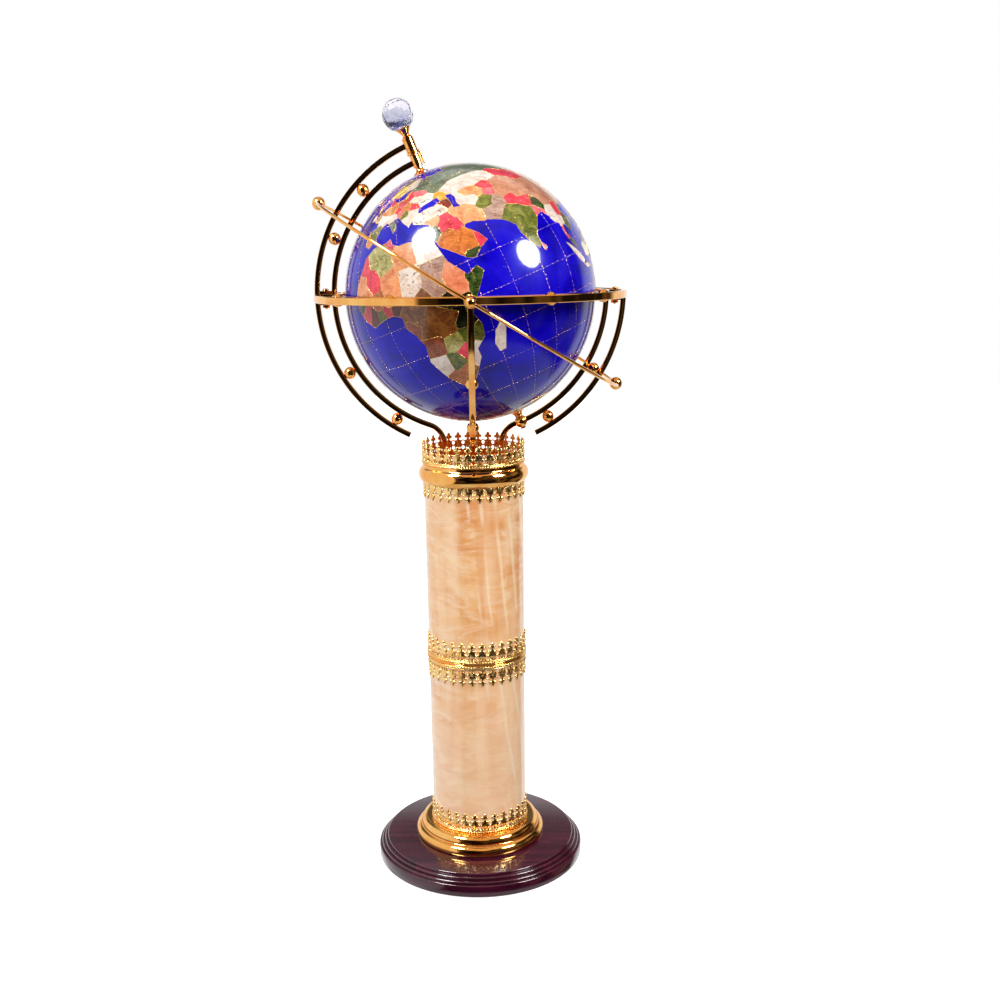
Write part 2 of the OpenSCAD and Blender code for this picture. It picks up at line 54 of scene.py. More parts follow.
# Brass bar of the rails: its thickness in the rail's plane and its width across it.
ROD, ROD_W = 4.6, 5.2
RAIL_IN, RAIL_OUT, RAIL_MID = 120.0, 135.0, 127.5
LEG_TURNS = {"left": 180, "front": 270, "right": 0, "back": 90}
# Degrees below the horizon where the rails' arcs end; an inner rail goes on round a bend into its upright.
INNER_END, OUTER_END = 71, 65
BEND_R, BEND_X, BEND_Z = 20.0, 45.58, 409.03
POST_X, POST_Z = 25.58, 395.0
# Underside and top of the horizon rings.
RING_Z0, RING_Z1 = 538.3, 544.5
BALL_R = 5.4
ECLIPTIC_R, ECLIPTIC_ROD = 152.0, 1.4
ECLIPTIC_TILT = math.radians(31.4)

CENTRE = Matrix.Translation((0, 0, GLOBE_Z))
GLOBE = CENTRE @ Matrix.Rotation(-TILT, 4, "Y")
SOUTH = GLOBE @ Matrix.Rotation(math.pi, 4, "X")
CRYSTAL_PLACE = GLOBE @ Matrix.Translation((0, 0, 160.5))
CRYSTAL_Z = CRYSTAL_PLACE.translation.z * MM


def rad(*angles):
    return [math.radians(a) for a in angles]


def arc(cx, cz, r, a0, a1, n):
    """Points on a circle arc, angles in degrees."""
    return [
        (cx + r * math.cos(a), cz + r * math.sin(a))
        for a in rad(*(a0 + (a1 - a0) * i / n for i in range(n + 1)))
    ]


class Shape:
    """Vertices in millimetres and faces, collected before they become one mesh."""

    def __init__(self):
        self.verts, self.faces = [], []

    def add(self, verts, faces, place=None):
        base = len(self.verts)
        self.verts += [place @ Vector(v) for v in verts] if place else [Vector(v) for v in verts]
        self.faces += [[i + base for i in f] for f in faces]

    def lathe(self, profile, segments, place=None, closed=False, pearls=None):
        """Turns a profile of (radius, height) about Z; the profile goes up on the outer face."""
        verts, rings = [], []
        for r, z in profile:
            if r < 1e-6:
                rings.append([len(verts)] * segments)
                verts.append((0, 0, z))
            else:
                rings.append(list(range(len(verts), len(verts) + segments)))
                for k in range(segments):
                    a = TAU * k / segments
                    out = pearls(r, a) if pearls else r
                    verts.append((out * math.cos(a), out * math.sin(a), z))
        faces = []
        for low, high in zip(rings, rings[1:] + (rings[:1] if closed else [])):
            for k in range(segments):
                j = (k + 1) % segments
                face = []
                for i in (low[k], low[j], high[j], high[k]):
                    if i not in face:
                        face.append(i)
                if len(face) > 2:
                    faces.append(face)
        self.add(verts, faces, place)

    def sweep(self, path, across, section, closed=False):
        """Carries a section of (sideways, across) points along a path; across is its second direction."""
        n, m = len(path), len(section)
        verts, faces = [], []
        for i, p in enumerate(path):
            a = path[i - 1] if i or closed else path[0]
            b = path[(i + 1) % n] if i < n - 1 or closed else path[-1]
            forward = (b - a).normalized()
            up = across(p) if callable(across) else across
            side = up.cross(forward).normalized()
            verts += [p + side * s + up * t for s, t in section]
        for i in range(n if closed else n - 1):
            j = (i + 1) % n
            for k in range(m):
                l = (k + 1) % m
                faces.append((i * m + k, i * m + l, j * m + l, j * m + k))
        if not closed:
            faces.append(tuple(range(m))[::-1])
            faces.append(tuple(range((n - 1) * m, n * m)))
        self.add(verts, faces)

    def block(self, size, place, bevel):
        """A box with rounded edges."""
        bm = bmesh.new()
        bmesh.ops.create_cube(bm, size=1)
        bmesh.ops.scale(bm, vec=size, verts=bm.verts)
        bmesh.ops.bevel(bm, geom=bm.edges[:], offset=bevel, segments=2, profile=0.5, affect="EDGES")
        bm.verts.index_update()
        self.add([v.co.copy() for v in bm.verts], [[v.index for v in f.verts] for f in bm.faces], place)
        bm.free()

    def ball(self, centre, r, segments=40, squash=1.0):
        profile = [(abs(x), z) for x, z in arc(0, 0, r, -90, 90, segments // 2)]
        self.lathe(profile, segments, Matrix.Translation(centre) @ Matrix.Diagonal((1, 1, squash, 1)))


def ring(profile, segments=192, place=None):
    """A turned shape with a hole through it: its profile closes on itself."""
    shape = Shape()
    shape.lathe(profile, segments, place, closed=True)
    return shape


def placed(name, data):
    obj = bpy.data.objects.new(name, data)
    bpy.context.scene.collection.objects.link(obj)
    return obj


def piece(name, shape, body, slot, mat, *nodes, angle=35, weld=0.0):
    """Makes the shape a Blender object that rides on a body and stands for the CAD nodes."""
    mesh = bpy.data.meshes.new(name)
    mesh.from_pydata([v * MM for v in shape.verts], [], shape.faces)
    bm = bmesh.new()
    bm.from_mesh(mesh)
    if weld:
        bmesh.ops.remove_doubles(bm, verts=bm.verts, dist=weld * MM)
    bmesh.ops.recalc_face_normals(bm, faces=bm.faces)
    bm.to_mesh(mesh)
    bm.free()
    mesh.shade_smooth()
    if angle < 180:
        mesh.set_sharp_from_angle(angle=math.radians(angle))
    mesh.materials.append(mat)
    obj = placed(name, mesh)
    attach(obj, body)
    if nodes:
        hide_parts(*nodes)
    return obj


# ---- materials
def srgb(r, g, b):
    """8-bit display colour to the linear value that the shader takes."""
    out = []
    for c in (r, g, b):
        c /= 255
        out.append(c / 12.92 if c <= 0.04045 else ((c + 0.055) / 1.055) ** 2.4)
    return (*out, 1.0)


class Nodes:
    """Short ways to add nodes to a tree. A socket goes by its name or its number."""

    def __init__(self, tree):
        self.tree = tree

    def set(self, node, inputs):
        for key, value in inputs.items():
            socket = node.inputs[key.replace("_", " ") if isinstance(key, str) else key]
            if isinstance(value, bpy.types.NodeSocket):
                self.tree.links.new(value, socket)
            else:
                socket.default_value = value

    def make(self, kind, props=None, **inputs):
        node = self.tree.nodes.new(kind)
        for key, value in (props or {}).items():
            setattr(node, key, value)
        self.set(node, inputs)
        return node

    def math(self, operation, *values, kind="ShaderNodeMath", output=0):
        node = self.make(kind, {"operation": operation})
        self.set(node, dict(enumerate(values)))
        return node.outputs[output]

    def level(self, factor, low, high, start=0.0, end=1.0):
        """Carries the range from start to end over to low to high."""
        return self.make(
            "ShaderNodeMapRange", Value=factor, From_Min=start, From_Max=end, To_Min=low, To_Max=high
        ).outputs[0]


class Finish(Nodes):
    """A node material, written from its shader outwards. Colours are 8-bit triplets."""

    def __init__(self, name, **shader):
        self.mat = bpy.data.materials.new(name)
        self.mat.use_nodes = True
        super().__init__(self.mat.node_tree)
        self.shader = self.tree.nodes["Principled BSDF"]
        self.coords = self.make("ShaderNodeTexCoord").outputs["Object"]
        self.set(self.shader, shader)

    def noise(self, scale, detail=3.0, roughness=0.5, stretch=None, distortion=0.0):
        vector = self.coords
        if stretch:
            vector = self.make("ShaderNodeMapping", Vector=vector, Scale=stretch).outputs[0]
        shape = {"Scale": scale, "Detail": detail, "Roughness": roughness, "Distortion": distortion}
        return self.make("ShaderNodeTexNoise", Vector=vector, **shape).outputs["Fac"]

    def cells(self, scale, output):
        return self.make("ShaderNodeTexVoronoi", Vector=self.coords, Scale=scale).outputs[output]

    def ramp(self, factor, *stops):
        node = self.make("ShaderNodeValToRGB", Fac=factor)
        bar = node.color_ramp
        while len(bar.elements) < len(stops):
            bar.elements.new(0.5)
        for element, (place, tone) in zip(bar.elements, stops):
            element.position = place
            element.color = srgb(*tone) if isinstance(tone, tuple) else (tone, tone, tone, 1)
        return node.outputs["Color"]

    def mix(self, factor, a, b):
        node = self.make("ShaderNodeMix", {"data_type": "RGBA"})
        self.set(node, {0: factor})
        self.set(node, {i: srgb(*tone) if isinstance(tone, tuple) else tone for i, tone in ((6, a), (7, b))})
        return node.outputs[2]

    def over(self, base, tone, pattern, start, end, amount):
        """Lays a tone over the base: nothing up to the pattern's start, the amount from its end on."""
        return self.mix(self.ramp(pattern, (start, 0.0), (end, amount)), base, tone)

    def surface(self, colour, rough, height, strength, distance):
        """Gives the material its colour, its roughness and a bump of some mm."""
        bump = self.make("ShaderNodeBump", Strength=strength, Distance=distance * MM, Height=height)
        self.set(self.shader, {"Base Color": colour, "Roughness": rough, "Normal": bump.outputs[0]})
        return self.mat


def gold(name, light, deep, low, high, bump, scale=260, inside=None):
    """Gilt metal; inside is a deeper orange painted on the column side of a stamped strip, a painted
    reflection of the gilt and onyx round it.
    """
    f = Finish(name, Metallic=1.0)
    colour = f.mix(f.level(f.noise(60, 3), 0, 1, 0.35, 0.65), light, deep)
    # Painted reflection: the face at the column's radius gets the deeper inside colour.
    if inside:
        flat = f.math("MULTIPLY", f.coords, (1, 1, 0), kind="ShaderNodeVectorMath")
        radius = f.math("LENGTH", flat, kind="ShaderNodeVectorMath", output="Value")
        back = (COLUMN_R + 0.1) * MM
        colour = f.mix(f.level(radius, 1.0, 0.0, back, back + 0.2 * MM), colour, inside)
    rough = f.level(f.noise(scale, 4), low, high, 0.35, 0.7)
    return f.surface(colour, rough, f.noise(scale * 3, 2), bump, 0.05)


GILT = gold("gilt_brass", (250, 194, 116), (240, 168, 84), 0.05, 0.12, 0.03)
# The last colour of the galleries' gilt is the painted reflection on their column side.
FILIGREE = gold("gallery_gilt", (252, 216, 148), (244, 190, 110), 0.2, 0.36, 0.4, 320, (255, 188, 106))
WIRE = gold("gilt_wire", (248, 214, 130), (226, 184, 92), 0.2, 0.35, 0.05)


def make_steel():
    f = Finish("steel", Metallic=1.0)
    grey = f.ramp(f.noise(90), (0.3, (150, 150, 152)), (0.7, (190, 190, 194)))
    return f.surface(grey, f.level(f.noise(300, 4), 0.25, 0.4), f.noise(400, stretch=(1, 1, 12)), 0.08, 0.05)


def make_onyx():
    """Honey onyx: cloudy level bands, milk veils, upright veins and, towards +X, leaning pale threads."""
    f = Finish("onyx", IOR=1.5, Coat_Weight=0.6, Coat_Roughness=0.03, Subsurface_Weight=0.15)
    f.set(f.shader, {"Subsurface Scale": 0.01, "Subsurface Radius": (1.0, 0.6, 0.35)})
    bands = f.noise(9, 6, 0.6, stretch=(1, 1, 2.4), distortion=0.9)
    clouds = f.noise(16, 5, 0.55, distortion=0.8)
    tones = (0.28, (226, 146, 84)), (0.42, (234, 166, 104)), (0.52, (242, 184, 124)), (0.62, (232, 162, 98))
    base = f.ramp(bands, *tones, (0.75, (246, 202, 152)))
    wisps = f.noise(24, 6, 0.64, stretch=(1, 1, 3), distortion=1.5)
    streaks = f.noise(34, 4, 0.6, stretch=(1, 1, 0.08), distortion=0.3)
    seams = f.noise(24, 3, 0.5, stretch=(1, 1, 0.1), distortion=0.3)
    base = f.over(base, (250, 214, 172), clouds, 0.45, 0.72, 0.85)
    base = f.over(base, (255, 230, 198), wisps, 0.46, 0.7, 0.65)
    base = f.over(base, (255, 222, 184), streaks, 0.5, 0.64, 0.45)
    base = f.over(base, (226, 150, 92), seams, 0.56, 0.66, 0.4)
    lean = {"Scale": (1, 0.6, 0.16), "Rotation": rad(0, 34, 0)}
    planes = f.make("ShaderNodeMapping", Vector=f.coords, **lean).outputs[0]
    wave = f.make("ShaderNodeTexWave", Vector=planes, Scale=30, Distortion=5, Detail=3, Detail_Scale=0.8)
    threads = f.over(base, (255, 236, 204), wave.outputs["Fac"], 0.78, 1.0, 0.5)
    place = f.make("ShaderNodeSeparateXYZ", Vector=f.coords).outputs
    side = f.math("MULTIPLY_ADD", place["X"], 4.0, f.noise(18, 2))
    base = f.mix(f.level(side, 0.0, 1.0, 0.52, 0.64), base, threads)
    base = f.mix(f.level(place["Z"], 0.42, 0.0, 0.1, 0.26), base, (248, 222, 196))
    return f.surface(base, f.level(f.noise(120, 4), 0.08, 0.2), clouds, 0.04, 0.4)


def make_lacquer():
    """Dark cherry wood under thick clear lacquer: fine turned grain that runs across the base."""
    f = Finish("lacquered_wood", IOR=1.3, Coat_Weight=1.0, Coat_Roughness=0.07)
    grain = f.noise(34, 6, 0.6, stretch=(0.16, 2.6, 2.6), distortion=0.7)
    pores = f.ramp(f.noise(160, 3, 0.5, stretch=(0.08, 3, 3)), (0.42, 0.0), (0.5, 1.0))
    tones = (0.3, (46, 9, 28)), (0.5, (64, 13, 37)), (0.62, (80, 17, 42)), (0.78, (54, 11, 32))
    colour = f.mix(f.level(pores, 0.35, 0.0), f.ramp(grain, *tones), (24, 5, 11))
    return f.surface(colour, f.level(grain, 0.18, 0.32, 0.3, 0.8), pores, 0.015, 0.05)


def make_felt():
    f = Finish("felt", Sheen_Weight=0.4, Sheen_Roughness=0.5)
    fibres = f.noise(900, 5, 0.7, distortion=1.5)
    green = f.ramp(fibres, (0.3, (24, 54, 36)), (0.7, (50, 92, 64)))
    return f.surface(green, f.level(fibres, 0.85, 1.0), fibres, 0.5, 0.3)


def make_plain(name, low, high, rough):
    """Cast resin or moulded plastic."""
    f = Finish(name)
    grain = f.noise(80, 4)
    colour = f.ramp(grain, (0.35, low), (0.65, high))
    return f.surface(colour, f.level(grain, rough, rough + 0.12), f.noise(320, 3), 0.1, 0.1)


def make_crystal():
    """Clear cut glass with a grey tint, and a painted blue reflection of the globe in its lower half."""
    f = Finish("crystal", IOR=1.5, Transmission_Weight=1.0, Roughness=0.0)
    pale = f.ramp(f.noise(60), (0.3, (190, 190, 212)), (0.7, (218, 218, 236)))
    height = f.make("ShaderNodeSeparateXYZ", Vector=f.coords).outputs["Z"]
    # Painted reflection: below the crystal's middle, scattered facets take the globe's blue into their base
    # colour.
    painted_reflection_mask = f.level(height, 1.0, 0.0, CRYSTAL_Z - 7 * MM, CRYSTAL_Z + 1 * MM)
    colour = f.mix(painted_reflection_mask, pale, f.over(pale, (52, 62, 168), f.cells(260, "Color"), 0.44, 0.46, 0.85))
    f.set(f.shader, {"Base Color": colour, "Roughness": f.level(f.noise(200), 0.0, 0.015)})
    return f.mat


def make_lapis():
    """Deep blue polished stone with darker clouds and rare pyrite specks."""
    f = Finish("lapis", IOR=1.2, Coat_Weight=0.5, Coat_Roughness=0.045)
    cloud = f.noise(34, 6, 0.65, distortion=0.6)
    blue = f.ramp(cloud, (0.3, (6, 0, 134)), (0.5, (12, 2, 182)), (0.72, (26, 12, 200)))
    specks = f.ramp(f.cells(420, "Distance"), (0.05, 1.0), (0.09, 0.0))
    rare = f.ramp(f.noise(140, 2), (0.58, 0.0), (0.62, 1.0))
    colour = f.mix(f.math("MULTIPLY", specks, rare), blue, (206, 176, 96))
    return f.surface(colour, f.level(cloud, 0.12, 0.24), f.noise(220, 3), 0.015, 0.05)


def make_stone(name, base, dark, light, veins=0.3, specks=0.0, scale=90, speck_colour=(20, 16, 14)):
    """A polished semi-precious stone of three tones, with veins and specks; each tile has its own shade."""
    f = Finish("stone_" + name, IOR=1.4, Coat_Weight=0.75, Coat_Roughness=0.04)
    cloud = f.noise(scale, 5, 0.6, distortion=1.0)
    tone = f.make("ShaderNodeAttribute", {"attribute_name": "tone"}).outputs["Fac"]
    shade = f.math("ADD", cloud, f.level(tone, -0.1, 0.1))
    colour = f.ramp(shade, (0.3, dark), (0.5, base), (0.72, light))
    strata = f.noise(scale * 2.2, 4, 0.6, stretch=(1, 1, 5), distortion=0.5)
    colour = f.over(colour, light, strata, 0.5, 0.66, 0.45)
    line = f.ramp(f.noise(scale * 1.6, 3, 0.5, distortion=2.5), (0.47, 0.0), (0.5, veins), (0.53, 0.0))
    colour = f.mix(line, colour, dark)
    if specks:
        dots = f.ramp(f.noise(scale * 6, 2, 0.5), (0.36, 1.0), (0.41, 0.0))
        colour = f.mix(f.math("MULTIPLY", dots, specks), colour, speck_colour)
    return f.surface(colour, f.level(cloud, 0.12, 0.3), f.noise(scale * 6, 3), 0.03, 0.05)


LAPIS = make_lapis()
# Base, dark and light tone, then the strength of the veins and specks, the grain and the specks' colour.
STONE_TONES = {
    "white": ((226, 212, 204), (196, 176, 166), (246, 240, 236), 0.25, 0.1),
    "speckle": ((222, 210, 200), (180, 160, 148), (240, 234, 228), 0.2, 0.75, 70),
    "peach": ((222, 146, 92), (190, 104, 58), (240, 190, 146), 0.35, 0.15),
    "amber": ((206, 108, 28), (150, 66, 14), (236, 152, 62), 0.3, 0.1),
    "coral": ((208, 118, 80), (178, 80, 50), (226, 154, 120), 0.25, 0.1),
    "red": ((204, 26, 58), (148, 10, 34), (226, 62, 90), 0.2),
    "darkred": ((92, 14, 16), (48, 6, 8), (132, 32, 26), 0.3),
    "olive": ((96, 104, 32), (44, 62, 18), (146, 146, 66), 0.5, 0.25, 120),
    "green": ((46, 74, 26), (18, 36, 12), (98, 114, 54), 0.4, 0.2),
    "greygreen": ((88, 104, 84), (52, 66, 52), (132, 144, 118), 0.4, 0.3),
    "moss": ((176, 172, 92), (122, 118, 50), (220, 216, 172), 0.5, 0.5, 110, (120, 60, 20)),
    "brown": ((124, 70, 28), (74, 38, 14), (168, 110, 52), 0.5, 0.5, 120),
    "tan": ((178, 145, 131), (142, 106, 92), (202, 180, 168), 0.4, 0.35, 80, (104, 62, 48)),
    "orange": ((188, 108, 52), (142, 72, 28), (218, 148, 88), 0.35, 0.25),
    "pink": ((214, 92, 108), (180, 54, 74), (236, 144, 152), 0.25),
    "clay": ((186, 122, 92), (152, 86, 60), (208, 154, 126), 0.4, 0.2, 60),
    "rust": ((128, 56, 30), (78, 26, 14), (168, 92, 54), 0.4, 0.2),
    "night": ((22, 26, 18), (8, 10, 8), (48, 58, 30), 0.3, 0.1),
    "yellow": ((212, 160, 58), (170, 112, 30), (238, 198, 104), 0.3, 0.1),
}
STONES = {name: make_stone(name, *tones) for name, tones in STONE_TONES.items()}

SLOT_FINISH = {
    "gilt_brass": GILT,
    "gallery_gilt": FILIGREE,
    "steel": make_steel(),
    "onyx": make_onyx(),
    "globe_stone": LAPIS,
    "core_resin": make_plain("core_resin", (196, 190, 178), (216, 210, 198), 0.5),
    "lacquered_wood": make_lacquer(),
    "felt": make_felt(),
    "crystal": make_crystal(),
    "nylon": make_plain("nylon", (214, 212, 204), (230, 228, 222), 0.4),
}
for part in frame["record"]["subparts"]:
    node = frame["nodes"][part["node"]]
    for holder in node.material_slots:
        holder.link = "OBJECT"
        holder.material = SLOT_FINISH[part["material_slot"]]


def gilt(name, shape, node, body="stand", angle=35):
    piece(name, shape, body, "gilt_brass", GILT, node, angle=angle)


def dressed(name, shape, slot, node):
    """A piece of the stand in its slot's own finish."""
    piece(name, shape, "stand", slot, SLOT_FINISH[slot], node)


# ---- base and column
def tube_profile(outer, inner, z0, z1, c):
    """A tube's wall with its edges broken by c."""
    return [
        (inner, z1 - c), (inner, z0 + c), (inner + c, z0), (outer - c, z0),
        (outer, z0 + c), (outer, z1 - c), (outer - c, z1), (inner + c, z1),
    ]


base = ring(
    [(4.2, 1.5), (99.9, 1.5), (100.8, 1.8), (101.2, 2.6), (101.2, 10.6), (101.0, 11.4)]
    + arc(99.6, 11.7, 1.4, 0, 80, 5)
    + [(98.6, 12.6)]
    + arc(96.9, 14.0, 1.75, -30, 110, 8)
    + [(95.4, 15.4)]
    + arc(93.9, 17.1, 1.75, -20, 110, 8)
    + [(92.5, 18.6)]
    + arc(91.4, 20.4, 1.2, 0, 90, 5)
    + [(4.2, 21.6)]
)
dressed("base_wood", base, "lacquered_wood", "base_plinth")

foot = ring(
    [(46.0, 21.65), (61.2, 21.65), (61.8, 22.0)]
    + arc(57.2, 25.4, 6.2, -28, 84, 16)
    + arc(59.2, 32.7, 1.1, 250, 190, 4)
    + arc(51.4, 33.2, 6.4, -8, 92, 16)
    + [(49.6, 39.7), (48.2, 39.55), (46.0, 39.55)]
)
gilt("foot_moulding", foot, "column_foot")

for name, z0, z1 in (("lower_column", 21.7, 209.4), ("upper_column", 212.6, 383.9)):
    dressed(name + "_onyx", ring(tube_profile(COLUMN_R, 34.0, z0, z1, 0.6), 160), "onyx", name)

joint = ring(
    [(3.2, 205.6), (33.0, 205.6), (33.6, 206.2), (33.6, 209.5), (46.5, 209.5)]
    + arc(46.55, 210.1, 0.55, -85, 40, 6)
    + [(46.55, 210.75), (46.55, 211.1)]
    + arc(46.6, 211.8, 0.62, -70, 85, 8)
    + [(46.4, 212.5), (33.6, 212.5), (33.6, 215.8), (33.0, 216.4), (3.2, 216.4)]
)
gilt("joint_band", joint, "mid_joint_disc")

capital = ring(
    [(32.2, 390.0), (32.2, 378.2), (33.7, 378.2), (33.7, 384.1), (46.2, 384.1), (46.4, 383.6),
     (46.4, 378.2), (47.2, 377.6)]
    + arc(41.34, 384.0, 9.26, -47, 49, 30)
    + [(47.2, 391.2), (47.0, 391.8), (47.0, 394.1), (46.6, 394.5), (44.4, 394.5), (44.0, 394.1),
       (44.0, 392.0), (34.0, 391.6)]
)
gilt("capital_moulding", capital, "capital_ring")


# ---- pierced galleries
MOTIFS = 30
PERIOD = TAU / MOTIFS
SEAT_R, GALLERY_MID_R = COLUMN_R + 0.03, 46.4
HALF = GALLERY_MID_R * PERIOD / 2
EDGE_GRAIN = 0.6
# Right half of one motif's outline, and its right window: distance from its middle line, and height.
FLEUR_RIGHT = [
    (HALF, 2.4), (HALF, 3.4), (4.2, 3.6), (3.5, 4.4), (3.2, 5.3), (3.5, 6.2), (4.2, 6.9), (HALF, 7.1),
    (HALF, 8.2), (4.3, 8.4), (3.6, 9.0), (3.3, 9.9), (3.4, 10.8), (4.0, 11.5), (HALF, 11.7), (HALF, 12.7),
    (4.0, 12.5), (3.1, 12.1), (2.1, 12.3), (1.3, 12.9), (1.0, 13.6), (1.0, 14.2), (1.5, 14.5), (2.5, 14.4),
    (3.3, 15.0), (3.5, 15.9), (3.1, 16.8), (2.3, 17.2), (1.6, 17.2), (1.6, 18.2), (1.2, 19.2), (0.6, 19.8),
    (0.0, 20.0),
]
FLEUR_WINDOW = [(1.0, 3.8), (2.3, 4.1), (2.2, 5.2), (1.6, 6.1), (1.1, 5.2)]


def segment_distance(p, a, b):
    d = b - a
    t = max(0.0, min(1.0, (p - a).dot(d) / max(d.length_squared, 1e-12)))
    return (a + d * t - p).length


def even_points(points, step):
    """Walks round a closed outline in near-equal steps that keep its corners."""
    out = []
    for a, b in zip(points, points[1:] + points[:1]):
        n = max(1, round((b - a).length / step))
        out += [a.lerp(b, i / n) for i in range(n)]
    return out


def inside(p, outline):
    odd = False
    for a, b in zip(outline, outline[1:] + outline[:1]):
        if (a.y > p.y) != (b.y > p.y) and p.x < (b.x - a.x) * (p.y - a.y) / (b.y - a.y) + a.x:
            odd = not odd
    return odd


def at_seam(a, b):
    """True for an edge where one motif runs on into the next."""
    return abs(a.x) > HALF - 1e-4 and abs(b.x) > HALF - 1e-4


def mirrored(points):
    return [Vector((-p.x, p.y)) for p in reversed(points)]


def fleur_patch():
    """One stamped motif: flat points (u, z, relief), triangles, and the outline edges that need a wall."""
    right = [Vector(p) for p in FLEUR_RIGHT]
    outline = even_points(right + mirrored(right[:-1]), EDGE_GRAIN)
    window = even_points([Vector(p) for p in FLEUR_WINDOW], EDGE_GRAIN)
    windows = [window, mirrored(window)]
    free = [
        (a, b)
        for loop in [outline] + windows
        for a, b in zip(loop, loop[1:] + loop[:1])
        if not at_seam(a, b)
    ]
    fill = []
    for j in range(int(20 / EDGE_GRAIN)):
        for i in range(-9, 10):
            p = Vector(((i + 0.5 * (j % 2)) * EDGE_GRAIN, 2.4 + (j + 0.5) * EDGE_GRAIN))
            if inside(p, outline) and min(segment_distance(p, a, b) for a, b in free) > 0.22:
                fill.append(p)
    points, loops, walls = [], [], []
    for loop in [outline] + windows:
        first = len(points)
        points += loop
        loops.append(list(range(first, len(points))))
        for i in range(len(loop)):
            j = (i + 1) % len(loop)
            if not at_seam(loop[i], loop[j]):
                walls.append((first + i, first + j))
    verts, _, faces, *_ = delaunay_2d_cdt(points + fill, [], loops, 1, 1e-5)
    middles = [sum((verts[i] for i in f), Vector((0, 0))) / 3 for f in faces]
    faces = [f for f, p in zip(faces, middles) if not any(inside(p, w) for w in windows)]
    relief = []
    for p in verts:
        d = min(segment_distance(p, a, b) for a, b in free)
        h = 0.35 + 0.6 * math.sin(min(d / 0.65, 1) * math.pi / 2)
        star = (abs(p.x) / 2.6) ** 0.7 + (abs(p.y - 7.6) / 3.0) ** 0.7
        h += 0.7 * max(0.0, 1 - star)
        for x, z in ((0, 18.2), (2.2, 15.8), (-2.2, 15.8)):
            h += 0.4 * max(0.0, 1 - ((p.x - x) ** 2 + (p.y - z) ** 2) / 1.2)
        relief.append((p.x, p.y, h))
    return relief, faces, walls


FLEUR = fleur_patch()


def gallery(name, z0, up, node):
    """A stamped strip of fleurons bent round the column, with its pearled base wire."""
    shape = Shape()
    relief, faces, walls = FLEUR
    n = len(relief)
    for k in range(MOTIFS):
        verts = []
        for front in (1, 0):
            for u, z, h in relief:
                a = k * PERIOD + u / GALLERY_MID_R
                r = SEAT_R + (h if front else 0.0)
                verts.append((r * math.cos(a), r * math.sin(a), z0 + up * z))
        tris = [tuple(f) for f in faces] + [tuple(i + n for i in reversed(f)) for f in faces]
        tris += [(i, i + n, j + n, j) for i, j in walls]
        shape.add(verts, tris)
    band = [(SEAT_R, 2.6), (SEAT_R, 0.05), (46.8, 0.05)]
    band += arc(46.9, 0.85, 0.75, -85, 85, 8) + [(46.9, 1.75), (47.0, 2.0), (46.9, 2.4), (46.7, 2.6)]
    shape.lathe(
        [(r, z0 + up * z) for r, z in band],
        720,
        closed=True,
        pearls=lambda r, a: r + (0.3 * abs(math.cos(60 * a)) - 0.15 if r > 47.05 else 0.0),
    )
    piece(name, shape, "stand", "gallery_gilt", FILIGREE, node, angle=50, weld=0.01)


gallery("foot_filigree", 39.6, 1, "foot_gallery")
gallery("joint_filigree_lower", 209.5, -1, "mid_gallery_lower")
gallery("joint_filigree_upper", 212.5, 1, "mid_gallery_upper")
gallery("neck_filigree", 383.0, -1, "neck_gallery")
gallery("crown_filigree", 394.5, 1, "crown_gallery")


# ---- rails
def rod_section(edge=0.5):
    """Section of the brass bar with rounded edges."""
    a, b = ROD / 2, ROD_W / 2
    inset = edge * 0.3
    low = [(a - edge, -b), (a - inset, -b + inset), (a, -b + edge)]
    right = low + [(x, -y) for x, y in reversed(low)]
    return right + [(-x, -y) for x, y in right]


def turned(points, turn):
    """Points (x, z) of the XZ plane, carried round Z by a turn in degrees, and that plane's normal."""
    c, s = math.cos(math.radians(turn)), math.sin(math.radians(turn))
    return [Vector((x * c, x * s, z)) for x, z in points], Vector((-s, c, 0))


def rail(name, path, turn, node):
    shape = Shape()
    shape.sweep(*turned(path, turn), rod_section())
    gilt(name, shape, node)


def below_ring(r):
    """Degrees at which a rail of radius r meets the underside of the horizon rings."""
    return -math.degrees(math.asin((GLOBE_Z - RING_Z0) / r))


def above_ring(r):
    return 180 - math.degrees(math.asin((RING_Z1 - GLOBE_Z) / r))


for side, turn in LEG_TURNS.items():
    path = arc(0, GLOBE_Z, RAIL_IN, below_ring(RAIL_IN), -INNER_END, 90)
    path += arc(BEND_X, BEND_Z, BEND_R, 180 - INNER_END, 180, 24)[1:]
    path += [(POST_X, BEND_Z - 3), (POST_X, POST_Z + 0.02)]
    rail("rail_inner_" + side, path, turn, f"leg_{side}_inner")
    path = arc(0, GLOBE_Z, RAIL_OUT, below_ring(RAIL_OUT), -OUTER_END, 90)
    rail("rail_outer_" + side, path, turn, f"leg_{side}_outer")

POLE = 90 + math.degrees(TILT)
for end, r, gap in (("inner", RAIL_IN, 1.9), ("outer", RAIL_OUT, 2.0)):
    path = arc(0, GLOBE_Z, r, POLE + gap, above_ring(r), 90)
    rail("meridian_rail_" + end, path, 0, "meridian_" + end)

balls = Shape()
LEG_BEADS = [(turn, -angle) for turn in LEG_TURNS.values() for angle in (31, 57.5)]
for turn, angle in LEG_BEADS + [(0, 180 - 23), (0, 180 - 44.5)]:
    points, _ = turned(arc(0, GLOBE_Z, RAIL_MID, angle, angle, 1), turn)
    balls.ball(points[0], BALL_R)
gilt("rail_beads", balls, "rail_balls", angle=180)

# ---- horizon rings and fixings
for name, r in (("horizon_outer", RAIL_OUT), ("horizon_inner", RAIL_IN)):
    band = tube_profile(r + ROD / 2, r - ROD / 2, RING_Z0, RING_Z1, 0.5)
    gilt(name + "_hoop", ring(band, 240), name + "_ring")

